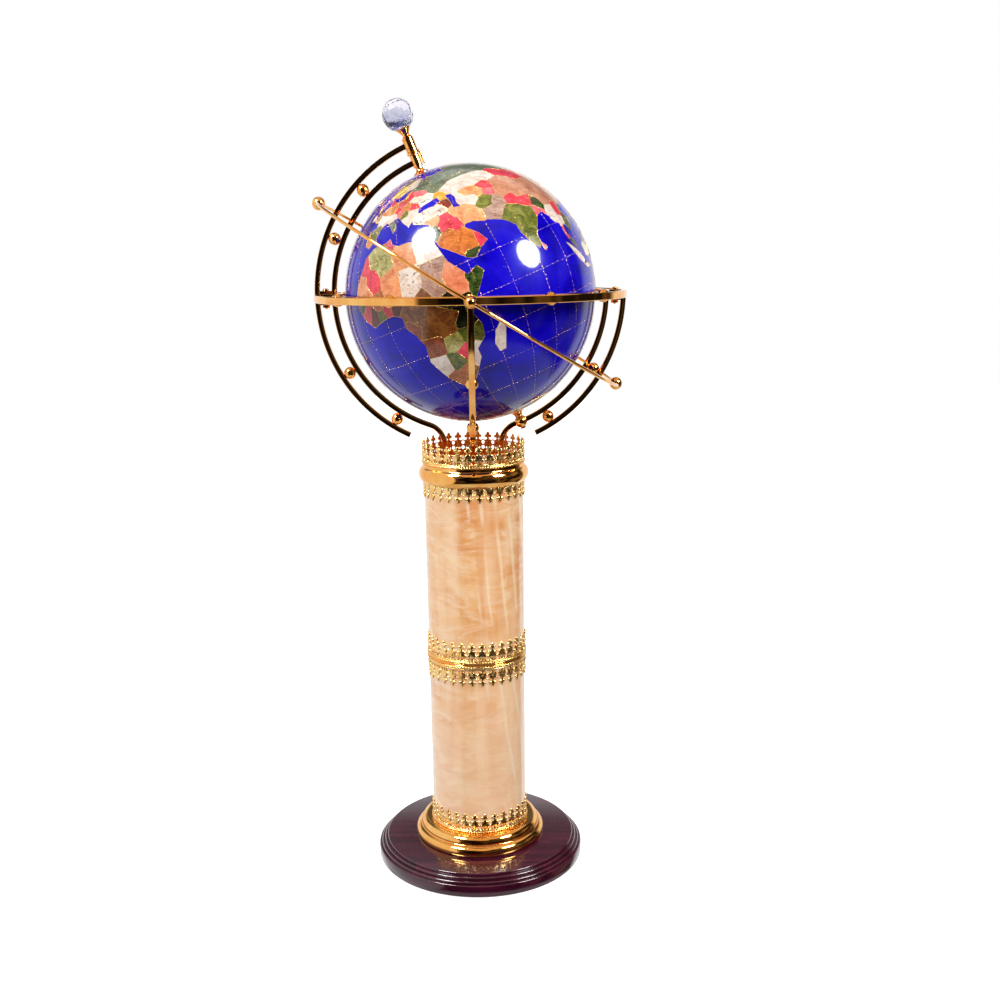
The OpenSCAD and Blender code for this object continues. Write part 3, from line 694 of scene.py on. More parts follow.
hoop_balls = Shape()
for a in rad(30, 60, 120, 150, 210, 240, 300, 330):
    hoop_balls.ball((RAIL_MID * math.cos(a), RAIL_MID * math.sin(a), GLOBE_Z), BALL_R)
gilt("horizon_beads", hoop_balls, "horizon_balls", angle=180)

bridges, plates, screws, nuts = Shape(), Shape(), Shape(), Shape()
PLATE, PLATE_H = (10.6, 8, 3), 3
HEAD = [(0, 0), (2.8, 0), (2.8, 1.0)] + arc(1.9, 0.9, 0.9, 10, 80, 4) + [(0.45, 2.15), (0.45, 1.2), (0, 1.2)]
NUT, NUT_Z = [(1.5, 0), (2.9, 0), (3.15, 0.3), (3.15, 2.1), (2.9, 2.4), (1.5, 2.4)], RING_Z0 - 5.4


def on_rails(turn, z):
    """A place between the two horizon rings at one leg."""
    return Matrix.Rotation(math.radians(turn), 4, "Z") @ Matrix.Translation((RAIL_MID, 0, z))


for side, turn in LEG_TURNS.items():
    bridges.block((10.6, 8, 6.0), on_rails(turn, GLOBE_Z), 0.35)
    plates.block(PLATE, on_rails(turn, RING_Z0 - PLATE_H / 2), 0.3)
    top = RING_Z1
    if side == "left":
        plates.block(PLATE, on_rails(turn, RING_Z1 + PLATE_H / 2), 0.3)
        top += PLATE_H
    screws.lathe(HEAD, 32, on_rails(turn, top))
    nuts.lathe(NUT, 6, on_rails(turn, NUT_Z), closed=True)
    nuts.ball(on_rails(turn, NUT_Z).translation, 1.5, 16, 0.7)
gilt("horizon_lugs", bridges, "horizon_bridges")
gilt("clamp_plates", plates, "rail_plates")
gilt("clamp_screw_heads", screws, "clamp_screws")
gilt("clamp_hex_nuts", nuts, "clamp_nuts", angle=25)


# ---- north fitting and finial
def fitting(name, profile, place, node, body="stand"):
    gilt(name, ring(profile, 64, place), node, body)


fitting(
    "lower_collar",
    [(2.0, 115.6), (3.7, 115.6), (4.2, 116.1), (4.2, 118.6), (3.9, 118.9), (4.2, 119.2), (4.2, 125.7),
     (3.8, 126.2), (2.0, 126.2)],
    GLOBE, "north_lower_sleeve",
)
fitting(
    "upper_collar",
    [(2.0, 128.8), (4.5, 128.8), (5.0, 129.3), (5.0, 131.4), (4.6, 131.8), (5.0, 132.2), (5.0, 138.6),
     (4.6, 139.0), (5.0, 139.4), (5.0, 140.5), (4.5, 141.0), (2.0, 141.0)],
    GLOBE, "north_upper_sleeve",
)
stem = Shape()
stem.lathe(
    [(2.0, 141.0), (3.7, 141.0), (4.1, 141.4), (3.6, 142.0), (3.0, 142.6), (3.0, 143.6), (3.6, 144.7),
     (5.0, 146.6), (6.1, 148.2), (6.35, 148.7), (6.2, 149.0), (5.7, 148.9), (4.4, 147.7), (2.4, 147.0),
     (0, 146.9)],
    64, GLOBE,
)
gilt("finial_stem", stem, "finial_cup")


def faceted_ball(r, rows, sides):
    """Triangles of a cut ball: rings of points, each turned half a facet from the last, and two ends."""
    verts, faces, rings = [], [], []
    for row in range(rows + 1):
        lat = -math.pi / 2 + math.pi * row / rows
        if row in (0, rows):
            rings.append([len(verts)] * sides)
            verts.append((0, 0, r * math.sin(lat)))
            continue
        rings.append(list(range(len(verts), len(verts) + sides)))
        for k in range(sides):
            a = TAU * (k + 0.5 * (row % 2)) / sides
            out = r * math.cos(lat)
            verts.append((out * math.cos(a), out * math.sin(a), r * math.sin(lat)))
    for row, (low, high) in enumerate(zip(rings, rings[1:])):
        for k in range(sides):
            j = (k + 1) % sides
            even = ((low[k], low[j], high[k]), (low[j], high[j], high[k]))
            odd = ((low[k], low[j], high[j]), (low[k], high[j], high[k]))
            faces += [face for face in (odd if row % 2 else even) if len(set(face)) == 3]
    return verts, faces


facets = Shape()
facets.add(*faceted_ball(13.5, 8, 14), CRYSTAL_PLACE)
piece("cut_crystal", facets, "stand", "crystal", SLOT_FINISH["crystal"], "crystal_ball", angle=1)

collar = [(2.1, 126.35), (5.1, 126.35), (5.5, 126.7), (5.5, 128.3), (5.1, 128.65), (2.1, 128.65)]
pointer = ring(collar, 64, GLOBE)
pointer.block((4.6, 2, 2.2), GLOBE @ Matrix.Translation((3.9, 0, 127.5)), 0.25)
pointer.lathe(
    [(0, 116.5), (0.9, 116.6), (1.3, 117.1), (1.3, 128.2), (0.9, 128.6), (0, 128.7)],
    32, GLOBE @ Matrix.Translation((6, 0, 0)),
)
gilt("hour_pointer", pointer, "index_pointer", "pointer")

south_ball = ring(
    [(1.5, -5.0), (2.6, -5.0)] + arc(0, 0, 5.75, -58, 72, 24) + [(1.5, 5.5)],
    48, SOUTH @ Matrix.Translation((0, 0, RAIL_IN)),
)
gilt("south_bead", south_ball, "south_ball_boss")

# ---- ecliptic hoop and its pivots
TILTED = CENTRE @ Matrix.Rotation(ECLIPTIC_TILT, 4, "Y")
spacers, knobs, hoop, beads = Shape(), Shape(), Shape(), Shape()
hoop.lathe([(ECLIPTIC_R + x, z) for x, z in arc(0, 0, ECLIPTIC_ROD, 0, 330, 11)], 288, TILTED, closed=True)
for outwards in (Matrix.Rotation(turn, 4, "X") for turn in rad(-90, 90)):
    spacers.lathe(
        [(1.5, 136.8), (2.75, 136.8), (2.75, 144.0), (2.45, 144.3), (2.75, 144.6), (2.75, 148.6),
         (4.6, 148.9), (5.0, 149.3), (5.0, 150.0), (4.6, 150.4), (1.5, 150.4)],
        48, CENTRE @ outwards, closed=True,
    )
    knob = [(1.5, 153.6), (2.4, 153.6)] + arc(0, 157.0, 4.2, -54, 69, 20) + [(0, 160.95)]
    knobs.lathe(knob, 48, CENTRE @ outwards)
    eye = [(1.56, 150.5), (3.6, 150.5), (4.0, 150.9), (4.0, 153.1), (3.6, 153.5), (1.56, 153.5)]
    hoop.lathe(eye, 48, TILTED @ outwards, closed=True)
for x in (-ECLIPTIC_R, ECLIPTIC_R):
    beads.ball(TILTED @ Vector((x, 0, 0)), 5.75, 48)
gilt("pivot_sleeves", spacers, "stud_spacers")
gilt("pivot_knobs", knobs, "ball_knobs")
gilt("ecliptic_hoop", hoop, "ecliptic_ring", "ecliptic")
gilt("ecliptic_end_beads", beads, "ecliptic_beads", "ecliptic", angle=180)

# ---- globe
LON_FACING = 40.0
# Coasts as (east longitude, north latitude) in whole degrees, simplified as the cut stones are.
COASTS = {
    "eurasia": [
        (-6, 38), (-10, 40), (-8, 46), (-2, 47), (-1, 49), (-6, 51), (-3, 53), (3, 55), (7, 57), (8, 60),
        (11, 60), (11, 58), (15, 57), (20, 57), (22, 58), (23, 60), (29, 62), (23, 63), (21, 64), (25, 67),
        (22, 68), (18, 65), (17, 62), (18, 61), (15, 60), (12, 60), (10, 62), (6, 61), (4, 63), (8, 67),
        (14, 70), (19, 72), (26, 73), (31, 72), (41, 69), (36, 67), (40, 66), (44, 69), (54, 68), (60, 69),
        (68, 69), (69, 73), (74, 72), (80, 73), (88, 75), (98, 76), (105, 78), (113, 74), (125, 73),
        (131, 71), (140, 72), (150, 71), (160, 70), (170, 70), (180, 69), (190, 66), (183, 64), (178, 62),
        (170, 60), (163, 58), (162, 55), (157, 51), (156, 57), (163, 62), (154, 59), (143, 59), (136, 55),
        (141, 53), (139, 47), (133, 43), (129, 41), (129, 36), (126, 35), (125, 39), (121, 39), (118, 38),
        (122, 37), (120, 34), (122, 30), (120, 26), (117, 24), (110, 21), (107, 20), (109, 15), (109, 12),
        (105, 9), (102, 13), (100, 13), (99, 9), (103, 5), (104, 1), (101, 3), (98, 8), (98, 14), (95, 16),
        (94, 19), (91, 22), (87, 21), (82, 16), (80, 13), (80, 10), (78, 8), (75, 12), (73, 17), (73, 21),
        (69, 25), (62, 28), (60, 28), (55, 30), (51, 30), (50, 29), (55, 24), (57, 20), (53, 18), (49, 15),
        (46, 16), (36, 25), (34, 31), (35, 35), (34, 37), (29, 39), (26, 40), (26, 42), (23, 40), (20, 43),
        (17, 47), (13, 47), (15, 43), (13, 40), (10, 45), (8, 47), (4, 46), (1, 43), (-2, 40),
    ],
    "africa": [
        (33, 31), (35, 25), (37, 18), (43, 10), (48, 12), (50, 9), (47, 5), (42, -1), (39, -5), (41, -11),
        (40, -16), (35, -20), (35, -24), (32, -28), (28, -33), (20, -35), (18, -32), (15, -27), (12, -18),
        (14, -11), (12, -5), (9, -1), (9, 4), (5, 6), (1, 6), (-5, 5), (-8, 4), (-13, 8), (-17, 14),
        (-17, 21), (-13, 27), (-10, 30), (-8, 34), (-1, 37), (8, 37), (11, 38), (12, 35), (16, 33), (20, 33),
        (24, 32), (29, 31),
    ],
    "madagascar": [(49, -12), (50, -16), (47, -25), (44, -25), (43, -21), (45, -16)],
    "ceylon": [(80, 10), (82, 8), (81, 6), (80, 7)],
    "sumatra": [(95, 6), (98, 4), (103, 0), (106, -3), (105, -6), (101, -3), (98, 1)],
    "java": [(105, -6), (110, -6), (115, -8), (108, -8)],
    "borneo": [(109, 2), (112, 3), (117, 7), (119, 5), (117, 1), (116, -4), (110, -3)],
    "sulawesi": [(119, 0), (125, 1), (122, -1), (123, -5), (120, -5)],
    "philippines": [(120, 18), (122, 18), (122, 14), (126, 9), (125, 6), (122, 8), (120, 14)],
    "new_guinea": [(131, -1), (138, -2), (146, -6), (150, -10), (145, -8), (138, -8), (133, -4)],
    "japan": [
        (130, 33), (132, 35), (137, 37), (140, 41), (142, 45), (145, 43), (141, 41), (141, 36), (136, 34),
        (131, 31),
    ],
    "formosa": [(121, 25), (122, 25), (121, 22), (120, 23)],
    "britain": [(-5, 50), (1, 51), (0, 53), (-2, 56), (-4, 59), (-6, 57), (-3, 54)],
    "ireland": [(-10, 52), (-6, 52), (-6, 55), (-9, 55)],
    "iceland": [(-23, 64), (-18, 63), (-14, 65), (-18, 66), (-23, 66)],
    "australia": [
        (114, -22), (114, -34), (119, -35), (125, -33), (131, -32), (137, -35), (140, -38), (147, -39),
        (150, -37), (153, -30), (152, -24), (146, -19), (142, -11), (140, -17), (136, -12), (131, -11),
        (126, -14), (122, -18),
    ],
    "tasmania": [(145, -41), (148, -41), (147, -44)],
    "zealand_north": [(173, -35), (178, -38), (175, -41), (174, -39)],
    "zealand_south": [(173, -41), (174, -42), (169, -46), (167, -46)],
    "north_america": [
        (192, 66), (204, 71), (225, 69), (245, 68), (265, 68), (266, 72), (278, 68), (274, 64), (266, 60),
        (268, 57), (278, 55), (280, 51), (282, 55), (283, 60), (290, 61), (296, 59), (304, 52), (295, 49),
        (300, 46), (290, 43), (286, 40), (284, 35), (279, 31), (280, 26), (278, 29), (275, 30), (270, 29),
        (263, 27), (263, 21), (266, 18), (270, 21), (273, 21), (272, 16), (277, 15), (277, 10), (282, 9),
        (280, 7), (275, 10), (269, 14), (264, 16), (255, 20), (247, 31), (250, 23), (243, 32), (239, 35),
        (236, 40), (236, 48), (230, 54), (220, 60), (210, 60), (202, 57), (195, 55), (202, 59), (195, 61),
        (199, 65),
    ],
    "baffin": [(280, 73), (290, 70), (298, 66), (288, 63), (287, 68), (275, 70)],
    "victoria": [(242, 72), (258, 72), (255, 69), (244, 69)],
    "ellesmere": [(270, 77), (285, 83), (298, 82), (285, 77)],
    "greenland": [
        (287, 78), (300, 82), (330, 83), (342, 78), (338, 70), (322, 66), (316, 60), (308, 65), (306, 70),
    ],
    "cuba": [(275, 22), (285, 20), (282, 22), (278, 23)],
    "south_america": [
        (282, 8), (288, 12), (298, 10), (308, 5), (310, 0), (316, -2), (325, -6), (321, -13), (319, -22),
        (312, -26), (306, -34), (298, -39), (295, -42), (294, -47), (291, -53), (286, -52), (286, -44),
        (288, -30), (290, -18), (284, -14), (279, -6), (280, 0), (283, 4),
    ],
    "antarctica": [
        (0, -70), (30, -69), (60, -67), (90, -67), (120, -67), (150, -69), (170, -72), (200, -78), (230, -75),
        (260, -73), (290, -69), (300, -64), (300, -75), (330, -77),
    ],
}
# One cut stone grows round each of these points: kind of stone, then longitude and latitude of each.
CUTS = {
    "eurasia": [
        ("greygreen", (40, 64), (46, 57), (60, 63), (76, 63), (92, 60), (110, 60), (128, 62), (150, 65),
        (172, 66), (120, 52), (36, 60), (104, 56)), ("white", (54, 51), (62, 51), (72, 51), (82, 51)),
        ("red", (96, 51), (104, 46)), ("clay", (84, 44), (90, 42), (80, 38), (95, 38), (88, 35), (99, 32),
        (105, 37), (107, 30), (114, 27), (100, 27), (114, 40), (122, 46)), ("white", (56, 43), (61, 41)),
        ("peach", (62, 45), (68, 43)), ("red", (74, 45)), ("pink", (72, 41)), ("yellow", (47, 48)),
        ("darkred", (47, 44)), ("speckle", (38, 45), (30, 42), (37, 41), (43, 42)), ("peach", (37, 37),
        (50, 38), (55, 36), (58, 32), (53, 33)), ("red", (44, 36), (47, 32), (41, 34)), ("green", (36, 33)),
        ("amber", (42, 28), (48, 26), (44, 22), (50, 21)), ("red", (55, 21)), ("green", (50, 17)),
        ("olive", (66, 36), (69, 38)), ("tan", (66, 31), (70, 31), (73, 35)), ("olive", (74, 27), (78, 27),
        (76, 20), (84, 24), (78, 13)), ("red", (81, 33), (87, 30)), ("green", (93, 26)), ("pink", (90, 23)),
        ("white", (99, 21), (98, 16), (101, 15)), ("red", (100, 10), (104, 20)),
        ("green", (105, 13), (108, 18), (102, 4)), ("red", (127, 41)), ("peach", (128, 37)),
        ("orange", (-7, 42)), ("olive", (-4, 43), (-1, 45)), ("speckle", (1, 50), (5, 50)),
        ("white", (8, 48)), ("orange", (12, 53)), ("peach", (7, 53)), ("white", (13, 49)),
        ("greygreen", (12, 44)), ("pink", (18, 49)), ("red", (16, 51)), ("pink", (20, 54)),
        ("orange", (24, 51)), ("olive", (21, 47)), ("white", (26, 46), (22, 44)), ("red", (27, 50), (25, 57)),
        ("speckle", (30, 53), (36, 51)), ("orange", (22, 58)), ("white", (28, 66)),
        ("moss", (16, 65), (9, 64)), ("olive", (18, 70)), ("red", (9, 59)), ("pink", (33, 57)),
    ],
    "africa": [
        ("red", (-9, 30)), ("peach", (-12, 24)), ("moss", (0, 32), (5, 28), (6, 34)), ("pink", (10, 37)),
        ("peach", (17, 30), (18, 26)), ("white", (29, 26)), ("peach", (-10, 19)), ("red", (-3, 23)),
        ("peach", (8, 20), (8, 15)), ("speckle", (18, 19), (17, 14)), ("tan", (29, 17), (28, 11)),
        ("coral", (37, 12), (38, 6)), ("green", (46, 8), (45, 4)), ("night", (38, 1)), ("darkred", (8, 9)),
        ("brown", (12, 5), (21, 7)), ("green", (-15, 14)), ("red", (-11, 10)), ("darkred", (-6, 8)),
        ("olive", (-1, 8)), ("orange", (-1, 12)), ("red", (2, 9)), ("rust", (12, -2)),
        ("brown", (15, 1), (22, -2), (26, -6), (19, -5)), ("night", (32, 1)), ("brown", (30, -2)),
        ("night", (35, -6)), ("rust", (18, -12)), ("moss", (27, -14)), ("olive", (34, -13), (39, -14)),
        ("white", (35, -20), (33, -24)), ("red", (30, -19)), ("olive", (24, -22)), ("white", (17, -22)),
        ("orange", (20, -30), (27, -28)), ("brown", (29, -31)),
    ],
    "madagascar": [("white", (47, -19))],
    "ceylon": [("pink", (81, 8))],
    "sumatra": [("white", (98, 2), (104, -3))],
    "java": [("white", (110, -7))],
    "borneo": [("white", (113, -1)), ("green", (116, 5))],
    "sulawesi": [("white", (121, -2))],
    "philippines": [("orange", (121, 16)), ("pink", (125, 8))],
    "new_guinea": [("speckle", (136, -4)), ("red", (144, -7))],
    "japan": [("red", (136, 35)), ("pink", (143, 43))],
    "formosa": [("green", (121, 24))],
    "britain": [("coral", (-2, 53)), ("green", (-4, 57))],
    "ireland": [("white", (-8, 53))],
    "iceland": [("speckle", (-18, 65))],
    "australia": [
        ("orange", (120, -26)), ("white", (133, -19)), ("coral", (134, -29)), ("moss", (145, -23)),
        ("red", (147, -33)), ("green", (144, -37)),
    ],
    "tasmania": [("peach", (147, -42))],
    "zealand_north": [("green", (176, -38))],
    "zealand_south": [("olive", (171, -44))],
    "north_america": [
        ("green", (207, 64)), ("peach", (228, 62)), ("tan", (245, 60), (262, 60)), ("peach", (235, 54)),
        ("speckle", (246, 52)), ("peach", (262, 52)), ("tan", (277, 50)), ("orange", (290, 55)),
        ("white", (294, 47)), ("red", (240, 44)), ("coral", (250, 44)), ("olive", (262, 44)),
        ("white", (272, 42)), ("green", (283, 42)), ("yellow", (241, 37)), ("moss", (250, 35)),
        ("red", (262, 34)), ("orange", (272, 34)), ("speckle", (279, 34)), ("pink", (279, 28)),
        ("green", (255, 26)), ("white", (262, 19)), ("red", (270, 17)), ("olive", (274, 13)),
        ("orange", (279, 9)), ("speckle", (256, 66)),
    ],
    "baffin": [("tan", (290, 68))],
    "victoria": [("peach", (250, 71))],
    "ellesmere": [("orange", (285, 80))],
    "greenland": [("white", (318, 74)), ("speckle", (315, 65))],
    "cuba": [("red", (280, 21))],
    "south_america": [
        ("red", (287, 4)), ("peach", (294, 7)), ("green", (301, 5)), ("brown", (307, 3)),
        ("white", (281, -1)), ("orange", (285, -9)), ("green", (300, -4)), ("moss", (310, -7)),
        ("green", (318, -7), (308, -16)), ("moss", (316, -19)), ("green", (308, -27)), ("tan", (296, -17)),
        ("darkred", (302, -24)), ("white", (304, -33)), ("red", (289, -31), (287, -46)),
        ("coral", (296, -30)), ("amber", (294, -40)),
    ],
    "antarctica": [("white", (0, -80), (90, -78)), ("speckle", (180, -83)), ("white", (270, -82))],
}
INLAND_SEAS = [
    [(49, 48), (53, 48), (54, 45), (53, 42), (54, 39), (50, 40), (50, 44)],
    [(30, 44), (31, 47), (37, 48), (44, 49), (45, 46), (40, 45), (35, 45)],
]
# The stones stand a hair proud of the ocean, and the round wires stand proud of the stones.
TILE_R, TILE_FLOOR_R = GLOBE_R + 0.06, GLOBE_R - 1.2
WIRE_R = GLOBE_R + 0.02


def sphere_point(lon, lat):
    """Unit direction in the globe's own frame: +Z north, and the meridian LON_FACING towards -Y."""
    a, b = math.radians(lon - LON_FACING), math.radians(lat)
    return Vector((math.cos(b) * math.sin(a), -math.cos(b) * math.cos(a), math.sin(b)))


def denser(points, step):
    """A closed outline of (direction, label) with more points along its great circles, in mm steps."""
    out = []
    for (a, tag), (b, _) in zip(points, points[1:] + points[:1]):
        n = max(1, math.ceil(a.angle(b, 0) * GLOBE_R / step))
        for i in range(n):
            out.append(((a * (1 - i / n) + b * (i / n)).normalized(), tag))
    return out


def clipped(points, plane, tag):
    """The part of a closed outline on the positive side of a plane; the cut gets the tag."""
    out = []
    for (a, edge), (b, _) in zip(points, points[1:] + points[:1]):
        da, db = a.dot(plane), b.dot(plane)
        if da >= 0:
            out.append((a, edge))
        if (da >= 0) != (db >= 0):
            cut = a.lerp(b, da / (da - db)).normalized()
            out.append((cut, edge if db >= 0 else tag))
    return out


def to_plane(p, centre, east, north):
    """Stereographic view of a direction from the far side of the globe."""
    k = 2 / (1 + p.dot(centre))
    return Vector((p.dot(east) * k, p.dot(north) * k))


def from_plane(q, centre, east, north):
    d = 4 + q.length_squared
    return (east * (4 * q.x / d) + north * (4 * q.y / d) + centre * ((4 - q.length_squared) / d)).normalized()


class Stone(Shape):
    """Tiles of one kind of stone, with one tone per vertex."""

    def __init__(self):
        super().__init__()
        self.tones = []

    def tile(self, outline, tone, top=TILE_R, floor=TILE_FLOOR_R, step=2.6):
        """Cuts one stone to a closed outline of directions: domed top, upright sides and a floor."""
        centre = sum(outline, Vector()).normalized()
        east = Vector((0, 0, 1)).cross(centre)
        east = east.normalized() if east.length > 0.01 else Vector((1, 0, 0))
        north = centre.cross(east)
        flat = [to_plane(p, centre, east, north) for p in outline]
        low = Vector((min(p.x for p in flat), min(p.y for p in flat)))
        high = Vector((max(p.x for p in flat), max(p.y for p in flat)))
        pitch = step / GLOBE_R
        fill = []
        for j in range(int((high.y - low.y) / pitch) + 1):
            for i in range(int((high.x - low.x) / pitch) + 1):
                p = low + Vector(((i + 0.5 * (j % 2)) * pitch, j * pitch))
                if inside(p, flat):
                    fill.append(p)
        verts, _, faces, *_ = delaunay_2d_cdt(flat + fill, [], [list(range(len(flat)))], 1, 1e-6)
        n = len(verts)
        points = [from_plane(p, centre, east, north) for p in verts]
        sides = dict.fromkeys(side for f in faces for side in zip(f, f[1:] + f[:1]))
        rim = [(a, b) for a, b in sides if (b, a) not in sides]
        body = [tuple(f) for f in faces] + [tuple(i + n for i in reversed(f)) for f in faces]
        body += [(a, a + n, b + n, b) for a, b in rim]
        self.add([p * top for p in points] + [p * floor for p in points], body, GLOBE)
        self.tones += [tone] * (2 * n)


def strand(shape, directions, r, thick, closed=False):
    """A five-sided wire over the globe's surface."""
    path = [GLOBE @ (d * r) for d in directions]
    section = [(thick * math.cos(a), thick * math.sin(a)) for a in rad(90, 162, 234, 306, 378)]
    shape.sweep(path, lambda p: (p - CENTRE.translation).normalized(), section, closed)


stones = {kind: Stone() for kind in STONES}
wires = Shape()
tones = {}
NEIGHBOUR = 1.2  # radians; stones further apart don't meet
# Each stone fills the part of its land that is nearer to its own point than to any other. A wire goes
# round the coast, and once between two stones of different kinds. The tag of an edge is the number of
# the stone beyond it.
for land, coast in COASTS.items():
    outline = [(sphere_point(*p), "coast") for p in coast]
    seeds = [(sphere_point(*spot), kind) for kind, *spots in CUTS[land] for spot in spots]
    strand(wires, [p for p, _ in denser(outline, 1.8)], WIRE_R, 0.16, closed=True)
    for i, (seed, kind) in enumerate(seeds):
        cell = denser(outline, 3.0)
        for j, (other, _) in enumerate(seeds):
            if j != i and cell and seed.angle(other) < NEIGHBOUR:
                cell = clipped(cell, seed - other, j)
        if len(cell) < 3:
            continue
        cell = denser(cell, 2.2)
        clean = [p for k, (p, _) in enumerate(cell) if (p - cell[k - 1][0]).length * GLOBE_R > 0.05]
        if len(clean) < 3:
            continue
        stones[kind].tile(clean, tones.setdefault((land, kind), random.random()))
        run = []
        for k in range(len(cell) + 1):
            p, tag = cell[k % len(cell)]
            run.append(p)
            wired = tag != "coast" and tag > i and seeds[tag][1] != kind and k < len(cell)
            if not wired:
                if len(run) > 1:
                    strand(wires, run, WIRE_R, 0.13)
                run = []

inland = Stone()
for shore in INLAND_SEAS:
    sea = [p for p, _ in denser([(sphere_point(*p), "coast") for p in shore], 2.0)]
    inland.tile(sea, 0.5, GLOBE_R + 0.12, GLOBE_R - 0.5, 1.6)
    strand(wires, sea, WIRE_R + 0.06, 0.14, closed=True)
piece("inland_seas", inland, "globe", "globe_stone", LAPIS, angle=30)

for kind, shape in stones.items():
    if shape.faces:
        obj = piece("stones_" + kind, shape, "globe", "globe_stone", STONES[kind], angle=30)
        layer = obj.data.attributes.new("tone", "FLOAT", "POINT")
        layer.data.foreach_set("value", shape.tones)
piece("stone_cloisons", wires, "globe", "gilt_brass", WIRE, angle=180)

graticule = Shape()
DASH, GAP = 2.2, 1.3


def dashes(directions_at, length):
    """A broken line over the globe, along directions that run from 0 at its start to 1 at its end."""
    count = max(1, round(length / (DASH + GAP)))
    for k in range(count):
        a, b = k / count, (k + DASH / (DASH + GAP)) / count
        strand(graticule, [directions_at(a + (b - a) * i / 2) for i in range(3)], GLOBE_R - 0.04, 0.14)


for lon in range(0, 360, 15):
    dashes(lambda t, lon=lon: sphere_point(lon, -80 + 160 * t), GLOBE_R * math.radians(160))
for lat in range(-75, 90, 15):
    dashes(lambda t, lat=lat: sphere_point(360 * t, lat), GLOBE_R * TAU * math.cos(math.radians(lat)))
piece("graticule_inlay", graticule, "globe", "gilt_brass", WIRE, angle=180)

ocean = ring(arc(0, 0, GLOBE_R, -86, 86, 120) + [(4.2, GLOBE_R - 1.0), (4.2, -GLOBE_R + 1.0)], 200, GLOBE)
piece("globe_ocean", ocean, "globe", "globe_stone", LAPIS, "stone_shell_north", "stone_shell_south", angle=60)

for pole, place, top, neck, hole in (("north", GLOBE, 115.4, 3.1, 2.3), ("south", SOUTH, 114.2, 3.8, 1.8)):
    fitting(
        pole + "_cap",
        [(hole, 109.7), (7.2, 109.75), (7.2, 110.2), (6.9, 110.6), (6.3, 110.9), (neck + 1.6, 111.6),
         (neck + 0.5, 112.5), (neck, top - 1.4), (neck, top - 0.3), (neck - 0.3, top), (hole, top)],
        place, pole + "_pole_cap", "globe",
    )

# ---- floor, light and camera
floor_mesh = bpy.data.meshes.new("floor")
floor_mesh.from_pydata([(-4, -4, 0), (4, -4, 0), (4, 4, 0), (-4, 4, 0)], [], [(0, 1, 2, 3)])
paper = Finish("paper", Emission_Color=(1, 1, 1, 1), Emission_Strength=0.8)
white = paper.ramp(paper.noise(40), (0.3, (246, 246, 246)), (0.7, (250, 250, 250)))
paper.set(paper.shader, {"Base Color": white, "Roughness": paper.level(paper.noise(60), 0.85, 0.95)})
floor_mesh.materials.append(paper.mat)
floor = placed("floor", floor_mesh)
floor.visible_glossy = False
floor.visible_diffuse = False

# The studio round the object is white to the eye. In reflections it is a dim cluttered room in front, a pale
# table below, a bright side on the left, a ceiling and a backdrop behind.
world = bpy.data.worlds.new("studio")
bpy.context.scene.world = world
world.use_nodes = True
sky = Nodes(world.node_tree)
towards = sky.make("ShaderNodeTexCoord").outputs["Generated"]
axes = sky.make("ShaderNodeSeparateXYZ", Vector=towards).outputs
ray = sky.make("ShaderNodeLightPath").outputs


def joined(operation, total, *values):
    for value in values:
        total = sky.math(operation, total, value)
    return total


clutter = sky.make("ShaderNodeTexNoise", Vector=towards, Scale=2.2, Detail=2.0).outputs["Fac"]
front = sky.level(axes["Y"], 1.0, 0.34, -0.5, -0.85)
room = sky.math("MULTIPLY", sky.level(clutter, 0.012, 0.3, 0.45, 0.66), front)
table = sky.level(axes["Z"], 0.0, 1.0, -0.57, -0.64)
table_glow = sky.math("MULTIPLY", table, sky.level(ray["Is Diffuse Ray"], 0.72, 0.2))
window = sky.level(axes["X"], 0.0, 1.0, -0.59, -0.65)
ragged_height = sky.math("ADD", axes["Z"], sky.level(clutter, -0.14, 0.14, 0.3, 0.7))
ceiling = sky.level(ragged_height, 0.0, 0.8, 0.64, 0.76)
backdrop = sky.level(axes["Y"], 0.0, 1.0, 0.5, 0.62)
behind = sky.math("MULTIPLY", backdrop, sky.level(axes["Z"], 1.0, 0.12, 0.3, 0.42))
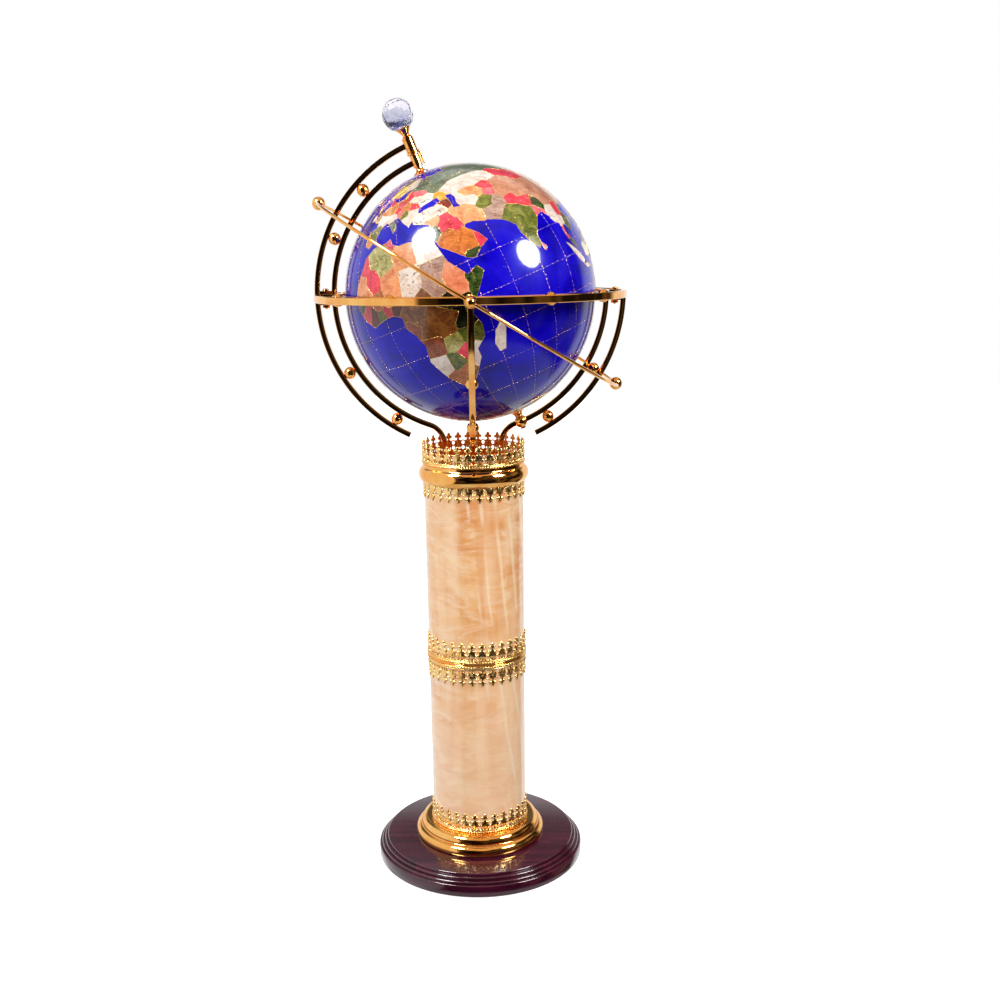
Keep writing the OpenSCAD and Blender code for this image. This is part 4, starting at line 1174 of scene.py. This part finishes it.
glow = joined("MAXIMUM", room, table_glow, sky.math("MULTIPLY", window, 0.95), ceiling, behind)
shade = sky.make("ShaderNodeMix")
sky.set(shade, {0: ray["Is Camera Ray"], 2: glow, 3: 1.0})
tint = sky.make("ShaderNodeMix", {"data_type": "RGBA"})
white_light = joined("MAXIMUM", table, window, backdrop, ray["Is Camera Ray"])
sky.set(tint, {0: white_light, 6: (1.0, 0.76, 0.5, 1), 7: (1, 1, 1, 1)})
sky.set(sky.tree.nodes["Background"], {"Strength": shade.outputs[0], "Color": tint.outputs[2]})


def softbox(name, aim, direction, distance, size, power):
    light = bpy.data.lights.new(name, "AREA")
    light.shape = "DISK"
    light.size = size
    light.energy = power
    lamp = placed(name, light)
    lamp.location = Vector(aim) + Vector(direction).normalized() * distance
    lamp.rotation_euler = (-Vector(direction)).to_track_quat("-Z", "Y").to_euler()
    return lamp


# The two keys show only as reflections, such as the bright spots on the globe; the fills give the soft light.
for side, direction, size, power in (
    ("left", (-0.57, -0.41, 0.71), 0.54, 42),
    ("right", (0.74, -0.43, 0.51), 0.6, 34),
):
    softbox("key_" + side, (0, 0, GLOBE_Z * MM), direction, 1.6, size, power).visible_diffuse = False
for side, direction, power in (
    ("left", (-0.57, -0.41, 0.6), 10),
    ("right", (0.74, -0.5, 0.45), 36),
    ("front", (-0.2, -1, 0.6), 22),
    ("top", (0, -0.3, 1), 10),
):
    softbox("fill_" + side, (0, 0, 0.35), direction, 2.2, 1.4, power).visible_glossy = False

CAMERA_PLACE = Matrix.Translation((0, -1.06894, 0.57596))
CAMERA_PITCH, CAMERA_ROLL = rad(73.66, -1.05)
camera = bpy.data.cameras.new("camera")
camera.lens, camera.sensor_width = 42.18, 36
camera.shift_x, camera.shift_y = 0.0241, 0.0981
eye = placed("camera", camera)
eye.matrix_world = CAMERA_PLACE @ Matrix.Rotation(CAMERA_PITCH, 4, "X") @ Matrix.Rotation(CAMERA_ROLL, 4, "Z")
bpy.context.scene.camera = eye
bpy.context.scene.view_settings.view_transform = "Standard"
